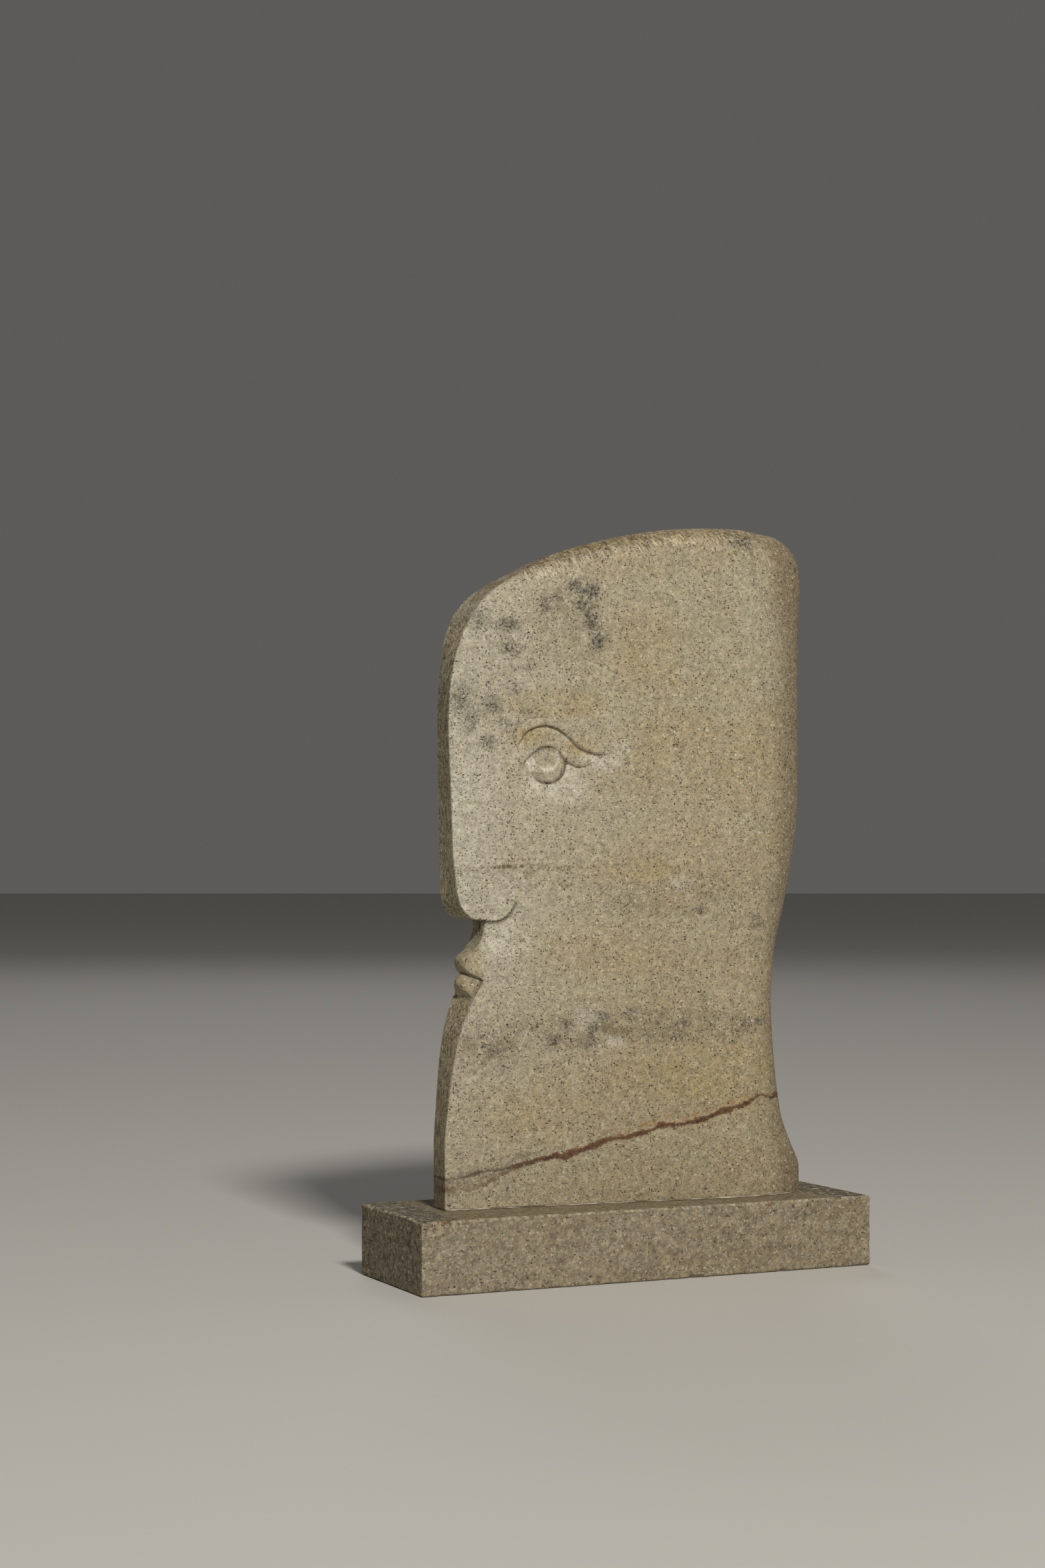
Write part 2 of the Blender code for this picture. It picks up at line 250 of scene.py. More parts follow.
def quarriedStone(name, look):
    # Rubbed coarse sandstone: a sandy ground made of small grains of slightly different tone, slim dark mica
    # flakes about 2 mm long, pale feldspar flakes, no shine. Stains, streaks and threads show where the piece has
    # their fields.
    stone, add = emptyMaterial(name)
    place = add("TexCoord", out=3)
    where = add("SeparateXYZ", (place,)).node

    def clouds(size, detail=3.0, span=(), stretch=(1, 1, 1), rough=0.55, shift=(0, 0, 0), slant=0.0):
        # Noise whose spots are about size millimetres across, stretched and slanted in the profile's plane. Where a
        # span is given, its first two numbers become 0 and 1, or its other two.
        vector = add("Mapping", {0: place, 2: (0, math.radians(slant), 0)}) if slant else place
        vector = add("Mapping", {0: vector, 1: shift, 3: stretch})
        noise = add("TexNoise", {"Vector": vector, "Scale": 1000 / size, "Detail": detail, "Roughness": rough})
        return add("MapRange", (noise, *span)) if span else noise

    def whereField(field, share):
        # a pattern's share, as strong as the piece's field of that name is there
        return add("Math", (add("Attribute", out=2, attribute_name=field), share), operation="MULTIPLY")

    def flakes(spacing, share, short, long, slim, shift, more):
        # One flake in some cells of a loose lattice, each turned its own way about a random axis: strength 0 to 1.
        # Sizes are in millimetres, and more adds to the share of cells that have one.
        vector = add("VectorMath", (bent, shift))
        cell = add("TexVoronoi", {"Vector": vector, "Scale": 1000 / spacing}).node
        red, green, blue = add("SeparateColor", (cell.outputs[1],)).node.outputs
        away = add("VectorMath", (vector, cell.outputs[2]), operation="SUBTRACT")
        axis = add("VectorMath", (cell.outputs[1], (0.5, 0.5, 0.5)), operation="SUBTRACT")
        turn = add("Math", (red, 12.6), operation="MULTIPLY")
        turned = add("VectorRotate", {"Vector": away, "Axis": axis, "Angle": turn}, rotation_type="AXIS_ANGLE")
        turned = add("VectorMath", (turned, (1, slim, slim)), operation="MULTIPLY")
        far = add("VectorMath", (turned,), out=1, operation="LENGTH")
        reach = add("MapRange", (green, 0, 1, short / 2000, long / 2000))
        outline = add("Math", (add("Math", (far, reach), operation="DIVIDE"), nibbled))
        grain = add("MapRange", (outline, 1.1, 0.7))
        chosen = add("Math", (blue, add("Math", (more, share))), operation="LESS_THAN")
        grain = add("Math", (grain, chosen), operation="MULTIPLY")
        return add("Math", (grain, add("MapRange", (red, 0, 1, 0.45, 1.0))), operation="MULTIPLY")

    def layOver(ground, layers):
        # colours over the ground in turn, each as strong as its share
        for share, colour in layers:
            ground = add("Mix", {0: share, 6: ground, 7: linear(colour)}, out=2, data_type="RGBA")
        return ground

    # every grain takes its ragged outline from one fine distortion of the coordinates
    fine = add("TexNoise", {"Vector": place, "Scale": 1000 / look["raggedSize"], "Detail": 1.0}).node
    ragged = add("VectorMath", (fine.outputs[1], (look["ragged"] / 1000,) * 3), operation="MULTIPLY")
    nibbled = add("MapRange", (fine.outputs[0], 0.3, 0.7, -0.55, 0.55))
    bent = add("VectorMath", (place, ragged))

    # ground: two sands in soft level beds, clouds of a third, a paler face and a yellower foot
    layers = [(clouds(look["bedSize"], 3.0, (0.32, 0.68), (0.35, 0.35, 1.4)), look["warmSand"]),
              (clouds(look["cloudSize"], 4.0, (0.45, 0.75, 0, look["cloudStrength"]), shift=(3.1, 0.4, 1.7)),
               look["cloudColour"])]
    for axis, (colour, full, gone, share) in ((0, look["faceSand"]), (2, look["footSand"])):
        layers.append((add("MapRange", (where.outputs[axis], full, gone, share, 0)), colour))

    # stains and bruises: fields painted on the mesh, broken up by noise
    for field, size, low, high, colour in look["stains"]:
        layers.append((whereField(field, clouds(size, 5.0, (low, high), rough=0.65, shift=(size, 7, 2))), colour))

    # grain: hue and brightness that change from one grain to the next, and more slowly from bunch to bunch
    mosaic = add("TexVoronoi", {"Vector": bent, "Scale": 1000 / look["grainSize"]}, out=1)
    tone = add("SeparateColor", (mosaic,)).node.outputs
    for channel, colour in ((tone[1], look["rustGrain"]), (tone[2], look["greyGrain"])):
        layers.append((add("MapRange", (channel, 0.5, 1, 0, look["grainHue"])), colour))
    ground = layOver(linear(look["paleSand"]), layers)
    contrasts = ("grainContrast", "dustContrast", "mottleContrast")
    grain, dust, mottle = ((1 - look[contrast], 1 + look[contrast]) for contrast in contrasts)
    lift = add("MapRange", (tone[0], 0, 1, *grain))
    for shade in (clouds(look["dustSize"], 2.0, (0.25, 0.75, *dust), rough=0.7),
                  clouds(look["grainSize"] * 3.2, 4.0, (0.3, 0.7, *mottle), rough=0.6, shift=(5, 2, 1))):
        lift = add("Math", (lift, shade), operation="MULTIPLY")

    # surface: pits between the grains, softer hollows and, further down, the flakes that have dropped out
    pits = clouds(look["pitSize"], 4.0, rough=0.75, shift=(7, 7, 7))
    rub = clouds(look["rubSize"], 2.0, (), look["rubWay"], 0.6, (3, 8, 5))
    height = add("Math", (rub, look["rubShare"], pits), operation="MULTIPLY_ADD")

    # lines left by the chisel, down the face's edge and across the crown: in the brightness and in the surface
    for field, way, slant, contrast in look["streaks"]:
        lines = clouds(stonePattern["lineSize"], 3.0, (), way, 0.7, (1, 1, 4), slant)
        bright = add("MapRange", (lines, 0.32, 0.68, -contrast, contrast))
        lift = add("Math", (lift, whereField(field, bright)))
        relief = whereField(field, lines)
        height = add("Math", (relief, stonePattern["lineRelief"], height), operation="MULTIPLY_ADD")
    shade = add("CombineColor", (lift, lift, lift))
    ground = add("Mix", {0: 1.0, 6: ground, 7: shade}, out=2, data_type="RGBA", blend_type="MULTIPLY")

    # grains of feldspar and mica, the coarse over the fine
    crowds = clouds(stonePattern["crowdSize"], 4.0, (0.46, 0.6, 0.0, 0.85), shift=(5, 1, 3))
    moreFlecks = whereField("speckle", crowds)
    layers = []
    for sizes, shift, more, strength, colour in (
            (look["feldspar"], (6, 3, 2), 0.0, look["flakeStrength"], look["flakeColour"]),
            (look["specks"], (2, 5, 1), moreFlecks, look["speckStrength"], look["fleckColour"]),
            (look["mica"], (0, 0, 0), moreFlecks, look["fleckStrength"], look["fleckColour"])):
        grain = flakes(*sizes, shift, more)
        layers.append((add("Math", (grain, strength), operation="MULTIPLY"), colour))
    height = add("Math", (grain, -stonePattern["flakeDent"], height), operation="MULTIPLY_ADD")

    # threads of the vein and of the bedding: millimetres above their sheets, frayed by noise
    (wide, far), (small, short), edge = (stonePattern[part] for part in ("wideFray", "fineFray", "threadEdge"))
    fray = add("Math", (clouds(wide, 5.0, (0, 1, -far, far), (0.8, 0.8, 1.6), 0.6, (2, 2, 2)),
                        clouds(small, 5.0, (0, 1, -short, short), rough=0.85, shift=(4, 2, 7))))
    gaps = clouds(stonePattern["gapSize"], 6.0, (0.44, 0.58), rough=0.75, shift=(6, 6, 1))
    for sheet, rise, width, share, colour, field, isBroken in look["threads"]:
        above = add("Math", (add("Attribute", out=2, attribute_name=sheet), fray))
        apart = add("Math", (add("Math", (above, rise), operation="SUBTRACT"),), operation="ABSOLUTE")
        swell = clouds(stonePattern["swellSize"], 4.0, (0.35, 0.65, width * 0.3, width * 1.25), shift=(rise, 6, 3))
        thread = add("MapRange", (add("Math", (swell, apart), operation="SUBTRACT"), -edge, edge, 0, share))
        if isBroken:
            thread = add("Math", (thread, gaps), operation="MULTIPLY")
        layers.append((whereField(field, thread), colour))
    ground = layOver(ground, layers)

    bump = add("Bump", {"Height": height, "Strength": look["bumpStrength"], "Distance": look["bumpDepth"] / 1000})
    dull = add("MapRange", (tone[0], 0, 1, look["roughness"] - 0.06, look["roughness"] + 0.06))
    shader = add("BsdfPrincipled", {"Base Color": ground, "Roughness": dull, "Normal": bump,
                                    "Specular IOR Level": 0.3, "IOR": 1.54})
    add("OutputMaterial", (shader,))
    return stone


headLook = {
    "bedSize": 150.0, "paleSand": "#a39d85", "warmSand": "#a29476",
    "cloudSize": 60.0, "cloudColour": "#98896b", "cloudStrength": 0.6,
    # colour, where it is full and where it is gone, in metres across and up the piece, and its share
    "faceSand": ("#b6b2a1", -0.22, 0.0, 0.75), "footSand": ("#928466", 0.12, 0.45, 0.6),
    "grainSize": 2.6, "grainContrast": 0.17, "dustSize": 1.5, "dustContrast": 0.22, "mottleContrast": 0.18,
    "rustGrain": "#9d8a66", "greyGrain": "#a3a293", "grainHue": 0.3,
    "raggedSize": 1.5, "ragged": 1.7,
    # field of the mesh, patch size in millimetres, noise from and to which the stain shows, colour
    "stains": (("dusk", 20, 0.36, 0.62, "#7e7259"), ("honey", 40, 0.3, 0.6, "#9c895c"),
               # crownPatinaAndShade is patina and painted shade on the crown's rounding; backShade and edgeShade are
               # painted shade
               ("bruise", 12, 0.3, 0.6, "#cac6b8"), ("crownPatinaAndShade", 16, 0.15, 0.55, "#6c5a39"),
               ("backShade", 60, 0.0, 0.3, "#7c6d54"), ("edgeShade", 30, 0.0, 0.4, "#8a7e61"),
               ("smoke", 10, 0.38, 0.57, "#747064"), ("smoke", 3.0, 0.48, 0.55, "#383530"),
               # crease: dirt and painted shade in the carved lines; chalk: pale dressed stone and painted highlights
               ("crease", 9, 0.0, 0.5, "#3d2c15"), ("chalkAndHighlight", 6, 0.1, 0.5, "#d0cabb")),
    # field, how the noise is squeezed along x, y and z, its slant in degrees and its contrast
    "streaks": (("tooled", (2.0, 2.0, 0.3), 0, 0.75), ("combed", (1.9, 0.5, 0.16), 24, 0.75)),
    # cell size, share of cells, shortest and longest flake in millimetres, length to width
    "mica": (2.9, 0.55, 2.0, 5.2, 2.4), "specks": (1.9, 0.5, 1.0, 2.2, 1.7), "feldspar": (3.8, 0.37, 1.6, 5.4, 1.9),
    "fleckColour": "#35281a", "fleckStrength": 0.95, "speckStrength": 0.6,
    "flakeColour": "#d6cfbd", "flakeStrength": 0.6,
    # sheet that the thread follows, millimetres above it, half width, strength, colour, field of where it shows
    # and whether it has gaps
    "threads": (("bedOffset", 0.0, 7.0, 0.35, "#7d6b4c", "bedStrength", True),
                ("bedOffset", 0.5, 2.8, 0.85, "#4d3d28", "bedStrength", True),
                ("veinOffset", 10.0, 1.3, 0.7, "#875730", "veinHalo", True),
                ("veinOffset", 5.0, 7.0, 0.45, "#a0733f", "veinHalo", True),
                ("veinOffset", 7.0, 12.0, 0.75, "#736854", "veinSmoke", True),
                ("strandOffset", 0.0, 2.2, 0.8, "#4b4034", "veinSmoke", False),
                ("veinOffset", 1.0, 3.4, 0.6, "#7b5130", "veinStrength", True),
                ("veinOffset", 0.0, 3.7, 0.9, "#5f412c", "veinStrength", False),
                ("veinOffset", -0.3, 1.9, 0.85, "#38271a", "veinStrength", True)),
    "pitSize": 1.6, "rubSize": 6.0, "rubWay": (1, 1, 1), "rubShare": 0.5,
    "bumpStrength": 0.5, "bumpDepth": 0.25, "roughness": 0.86,
}

plinthLook = {
    "bedSize": 120.0, "paleSand": "#8a806c", "warmSand": "#857860",
    "cloudSize": 60.0, "cloudColour": "#746852", "cloudStrength": 0.7,
    "faceSand": ("#8c8270", -0.3, 0.3, 0.3), "footSand": ("#84775e", 0.0, 0.08, 0.0),
    "grainSize": 3.0, "grainContrast": 0.25, "dustSize": 1.6, "dustContrast": 0.34, "mottleContrast": 0.27,
    "rustGrain": "#97825c", "greyGrain": "#949484", "grainHue": 0.35,
    "raggedSize": 1.6, "ragged": 1.8,
    # topShadeAndPatina and stripShadeAndTint: painted shade with some patina on the top, lighter in front of the head;
    # leftEndShade: painted shade on the left end
    "stains": (("topShadeAndPatina", 24, 0.15, 0.5, "#3f392b"), ("stripShadeAndTint", 30, 0.1, 0.5, "#75684c"),
               ("leftEndShade", 30, 0.2, 0.7, "#6b614c"), ("patchy", 9, 0.5, 0.6, "#3c3628"),
               ("patchy", 6, 0.55, 0.62, "#b5ad97"), ("worn", 6, 0.35, 0.6, "#aaa28c"),
               ("rust", 6, 0.3, 0.5, "#6b4a26")),
    "streaks": (), "threads": (),
    "mica": (3.4, 0.4, 1.8, 4.8, 2.2), "specks": (2.2, 0.4, 0.9, 2.0, 1.6), "feldspar": (4.6, 0.45, 1.8, 6.4, 1.9),
    "fleckColour": "#35291b", "fleckStrength": 0.9, "speckStrength": 0.5,
    "flakeColour": "#c4bca7", "flakeStrength": 0.7,
    "pitSize": 2.0, "rubSize": 5.0, "rubWay": (0.12, 1.6, 1.0), "rubShare": 1.3,
    "bumpStrength": 0.6, "bumpDepth": 0.6, "roughness": 0.88,
}

mortarLook = {
    "lime": "#c9c1ae", "stained": "#7d7058", "stainSize": 28.0, "sandSize": 1.2, "roughness": 0.93,   # millimetres
}


def limeMortar():
    # Lime mortar, pointed by hand: chalky off-white, sandy, stained by the stone in places
    mortar, add = emptyMaterial("limeMortar")
    place = add("TexCoord", out=3)
    stain = add("TexNoise", {"Vector": place, "Scale": 1000 / mortarLook["stainSize"], "Detail": 4.0})
    stain = add("MapRange", (stain, 0.4, 0.62))
    sand = add("TexNoise", {"Vector": place, "Scale": 1000 / mortarLook["sandSize"], "Detail": 2.0})
    colours = {0: stain, 6: linear(mortarLook["lime"]), 7: linear(mortarLook["stained"])}
    ground = add("Mix", colours, out=2, data_type="RGBA")
    shade = add("MapRange", (sand, 0.3, 0.7, 0.82, 1.1))
    shade = add("CombineColor", (shade, shade, shade))
    ground = add("Mix", {0: 1.0, 6: ground, 7: shade}, out=2, data_type="RGBA", blend_type="MULTIPLY")
    bump = add("Bump", {"Height": sand, "Strength": 0.6, "Distance": 0.0004})
    shader = add("BsdfPrincipled", {"Base Color": ground, "Roughness": mortarLook["roughness"], "Normal": bump,
                                    "Specular IOR Level": 0.25})
    add("OutputMaterial", (shader,))
    return mortar


warmStone = quarriedStone("rubbedSandstone", headLook)
greyStone = quarriedStone("sawnSandstone", plinthLook)
mortarMaterial = limeMortar()
for nodeName, material in (("head", warmStone), ("plinth", greyStone), ("mortar_bed", mortarMaterial)):
    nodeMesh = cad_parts[nodeName].data
    nodeMesh.materials.clear()
    nodeMesh.materials.append(material)
print("stone and mortar ready")


# the head: an outline in profile, drawn in millimetres on a head 824 high, carved on both sides.
# A station is (behind the foot of the face, above the head's foot, lean): the near arris stands lean further back
# than the middle of the edge and the far arris as much before it.

headShape = {
    "drawnHeight": 824.0,
    "faceWidth": 36.0, "backWidth": 98.6, "backRoundStart": 388.0,
    # height above the foot and rounding of the arris there: the upper lip has no sharp arris
    "arrisRound": ((0, 1.5), (262, 1.5), (270, 3.0), (277, 8.0), (286, 11.0), (300, 10.0), (318, 4.0), (330, 1.5),
                   (900, 1.5)),
    "lowerLipShare": 0.77, "crownRound": 30.0, "crownFlatShare": 0.30, "backFlat": 6.0,
    "crownRoundFrom": 30, "crownRoundFull": 140, "backRoundFrom": 260, "crownNarrowFrom": 300,
    "crownDropFrom": 690, "crownDropFull": 800,
    "neck": ((0, 0, 0), (0, 40, 0), (0, 77, 0), (2.7, 112, 0.5), (8.7, 169, 2), (16.2, 208, 3.5), (24.2, 232, 5.2),
             (31.2, 249, 5.5)),
    "lipCorner": ((31.2, 249, 5.5), (38, 257, 3.5), (43.5, 264, 2), (48, 269.2, 0)),
    "upperLip": ((48, 269.2, 0), (38.5, 275, 0), (35, 284, 0), (34.5, 294, 0), (38.5, 305.6, 0)),
    "hollow": ((38.5, 305.6, 0), (46.4, 317.4, 0), (49.8, 327, 0), (51.7, 341, 0)),
    "nose": ((51.7, 341, 0), (40, 341.2, 1), (30.5, 343, 2.8), (21.8, 349, 3.8), (15.5, 359, 3.5), (12.2, 372.6, 3.2)),
    "forehead": ((12.2, 372.6, 3.2), (10.2, 396, 2.2), (8.4, 428, 1.4), (7.2, 480, 1), (4.7, 561, 0), (6.2, 612, 0.2),
                 (11, 648, 1.3), (18.6, 678, 3.4), (30.7, 704.3, 4.2)),
    "crown": ((30.7, 704.3, 4.2), (50.4, 727.3, 3.5), (87.6, 751.6, 2), (139.8, 778.3, 0), (205, 799.5, 0),
              (274.2, 814.3, 0), (340, 821.8, 0), (395, 824, 0), (430, 822, 0), (452, 816.2, 0), (462, 811.4, 0),
              (470, 806, 0)),
    "back": ((470, 806, 0), (476.6, 799.5, 0), (481.8, 792, 0), (486.2, 780.5, 0), (488.8, 755, 0), (486.5, 705, 0),
             (484.8, 640, 0), (484.8, 482, 0), (474.2, 405, 0), (462.7, 354, 0), (449.8, 304, 0), (445.2, 258, 0),
             (445.2, 212, 0), (450.2, 153, 0), (457.8, 103, 0), (466, 77, 0), (484.5, 39, 0)),
    "heel": ((484.5, 39, 0), (486.9, 32, 0), (486.9, 0, 0)),
    "lowerLipCentre": (41, 266), "lowerLipRadii": (19.5, 14.6), "lowerLipTurn": (230, 124),
    "upperLipMiddle": ((30.2, 278.2, 0), (25.6, 281.6, 0), (22.8, 288.5, 0), (24.6, 297, 0), (38.5, 305.6, 0)),
    # the mesh: columns up the side, whose gaps start narrow behind the face, and rows, whose gap depends on height;
    # smoothRows evens the rows' heights over so many rows on either side, with a bell so wide
    "bandEnd": 93.0, "bandColumns": 30, "bandCrowding": 1.25,
    "eyeColumnGap": 6.0, "eyeColumnsEnd": 215.0, "cheekColumnGap": 7.5,
    "rowGaps": ((0, 8.0), (205, 7.0), (232, 1.8), (392, 1.8), (425, 5.5), (470, 6.0), (600, 6.0), (704, 4.2)),
    "smoothRows": 20, "smoothWidth": 7.0,
    "split": 600.0, "roundSteps": 9, "edgeSteps": 16, "crownParts": 4,
    # where the mesh is cut finer: round the eye into so many parts on the near and far side, and at the nose
    "eyeRows": (478, 594), "eyeFrom": 0.82, "eyeTo": 218, "eyeParts": (7, 4), "noseRows": (324, 399), "noseParts": 2,
}

# in drawn millimetres; a pair is for the arch and for the tail of the lid, for the ball's upper left and lower right,
# or for the sides and the underside of the nose's lobe
carving = {
    "noseCentre": (60.2, 367), "noseRadius": 27.0, "noseStep": (3.6, 5.2), "noseCove": (5.0, 9.5), "noseFade": (75, 15),
    "cheekReach": 52.0, "eyeWindow": (150, 90, 530, 75),
    "eyeCentre": (129.6, 526.8), "eyeRadius": 23.8, "eyeDepth": (1.4, 5.2), "eyeCrest": -0.3, "eyeTilt": 1.2,
    "eyeReach": (14.0, 42.0), "irisCentre": (128.7, 534.2), "irisRadius": 16.3, "irisDepth": 2.9, "irisPower": 5.0,
    "pupilCentre": (129, 532), "pupilRadius": 4.6, "pupilDepth": 1.3,
    # how deep the brow rounds down to the upper line, how deep the lid starts below it, how far the lid rolls down
    # to the lower line, how wide the brow's and the lid's rounding are, and the coves under the two lines
    "tail": (138, 172), "browRoll": (0.6, 2.6), "lidSunk": (3.0, 0.8), "lidRoll": (0.9, 2.2), "browWidth": (2.0, 5.0),
    "rollWidth": (2.5, 5.0), "upperCove": 2.6, "lidCove": (6.5, 2.6), "lidRise": 10.0, "lidReach": (28, 20),
    "underDepth": (2.4, 2.6), "underReach": 24.0, "cheekShare": 0.72,
    "lidUpper": ((89.9, 546.3), (102.2, 564), (119.2, 572), (136.2, 571), (153.2, 561.7), (170.2, 546), (187.2, 540),
                 (198.4, 538.8), (211.4, 545.5)),
    "lidLower": ((95.4, 519), (100.4, 531.4), (117, 545.5), (128.2, 548.5), (140.2, 545.5), (153.2, 532), (168, 524.4),
                 (181, 527.5), (190, 533)),
    "browLine": ((89.5, 545.4), (87.2, 550.9), (86.2, 562.9), (92, 571.5), (101.2, 577.9), (112, 581.5), (124, 582.5),
                 (137, 580.5)),
    "browLineDepth": 0.9, "browLineWidth": 1.3, "browBandDepth": 0.4, "browBandReach": (16, 9),
    "scratch": ((97, 496), (101, 487), (107, 486), (116, 482)), "scratchDepth": 0.4, "scratchWidth": 1.1,
}

surfaceWear = {
    "lumps": ((90.0, 0.35), (28.0, 0.16), (9.0, 0.07)),   # size and height, in millimetres
    "nearSeed": 11, "farSeed": 31,
    "strokePitch": 4.4, "strokeDepth": 0.8, "strokeSlant": 0.42, "strokeStart": (70, 120), "strokeEnd": (470, 420),
    "strokeAbove": 700, "strokeReach": (38, 24), "strokeWander": 0.35, "wanderSize": 24.0, "patchSize": 17.0,
}

headLow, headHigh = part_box("head")
unit = (headHigh.z - headLow.z) / headShape["drawnHeight"]     # metres for a drawn millimetre


def halfWidth(x):
    # half the slab's thickness: it grows evenly from the face to where the back starts to round off
    share = (headShape["backWidth"] - headShape["faceWidth"]) / 2 / headShape["backRoundStart"]
    return headShape["faceWidth"] / 2 + share * np.minimum(x, headShape["backRoundStart"])


def headOutline():
    # the profile along the arrises and along the middle of the edge, which differ at the lips
    lower, upper = curveThrough(headShape["lipCorner"]), curveThrough(headShape["upperLip"])
    turn = np.radians(np.linspace(*headShape["lowerLipTurn"], len(lower)))
    centre, radii = headShape["lowerLipCentre"], headShape["lowerLipRadii"]
    lowerMiddle = np.stack([centre[0] + radii[0] * np.cos(turn), centre[1] + radii[1] * np.sin(turn), 0 * turn], 1)
    upperMiddle = curveThrough(headShape["upperLipMiddle"])
    before = curveThrough(headShape["neck"])
    face = [curveThrough(headShape[run])[1:] for run in ("hollow", "nose", "forehead")]
    rest = [curveThrough(headShape[run])[1:] for run in ("crown", "back", "heel")]
    arris = np.vstack([before, lower[1:], upper[1:], *face, *rest])
    middle = np.vstack([before, lowerMiddle[1:], upperMiddle[1:], *face, *rest])
    corner = len(before) + len(lower) + len(upper) - 3 + sum(map(len, face))
    return arris, middle, corner


def roundingOf(arris):
    # how far the rounding reaches in from the outline, as a vector in the profile's plane, and its share of crown
    back, up = arris[:, 0], arris[:, 1]
    along = np.gradient(arris[:, :2], axis=0)
    along /= np.linalg.norm(along, axis=1)[:, None]
    crest = np.argmax(up)
    radius = np.interp(up, *np.transpose(headShape["arrisRound"]))
    radius[crest:] = headShape["arrisRound"][0][1]
    inward = np.stack([along[:, 1], -along[:, 0]], 1) * radius[:, None]
    behind = np.arange(len(up)) > crest
    above = up > headShape["split"]
    crown = np.where(behind, 1.0, smoothStep(headShape["crownRoundFrom"], headShape["crownRoundFull"], back) * above)
    reach = back[crest] - headShape["backRoundStart"]
    early = smoothStep(headShape["backRoundFrom"], back[crest], back) * reach * above
    towardsBack = np.where(behind, back - headShape["backRoundStart"], early)
    drop = smoothStep(headShape["crownDropFrom"], headShape["crownDropFull"], up)
    down = headShape["crownRound"] * np.where(behind, drop, 1.0)
    wide = np.stack([-towardsBack, -down], 1)
    narrowing = np.where(behind, 1.0, smoothStep(headShape["crownNarrowFrom"], back[crest], back))
    flat = halfWidth(back) * headShape["crownFlatShare"] * (1 - narrowing) + headShape["backFlat"] / 2 * narrowing
    return inward * (1 - crown)[:, None] + wide * crown[:, None], radius, crown, flat, crest


def cove(out, width):
    # 0 at an edge and 1 from width onwards: steep at the edge, then easing like a gouge's hollow, 1 - (1 - d)^3
    return 1 - np.clip(1 - np.clip(out, 0, None) / width, 0, 1) ** 3


def groove(x, z, line, halfWide, ends=(0.12, 0.7)):
    # a V-shaped scratch along a line, 1 at its bottom, dying away at its ends
    above, along = nearLine(x, z, curveThrough(line, 8))
    fade = smoothStep(0, ends[0], along) * smoothStep(1.0, ends[1], along)
    return np.clip(1 - np.abs(above) / halfWide, 0, 1) * fade, above, fade


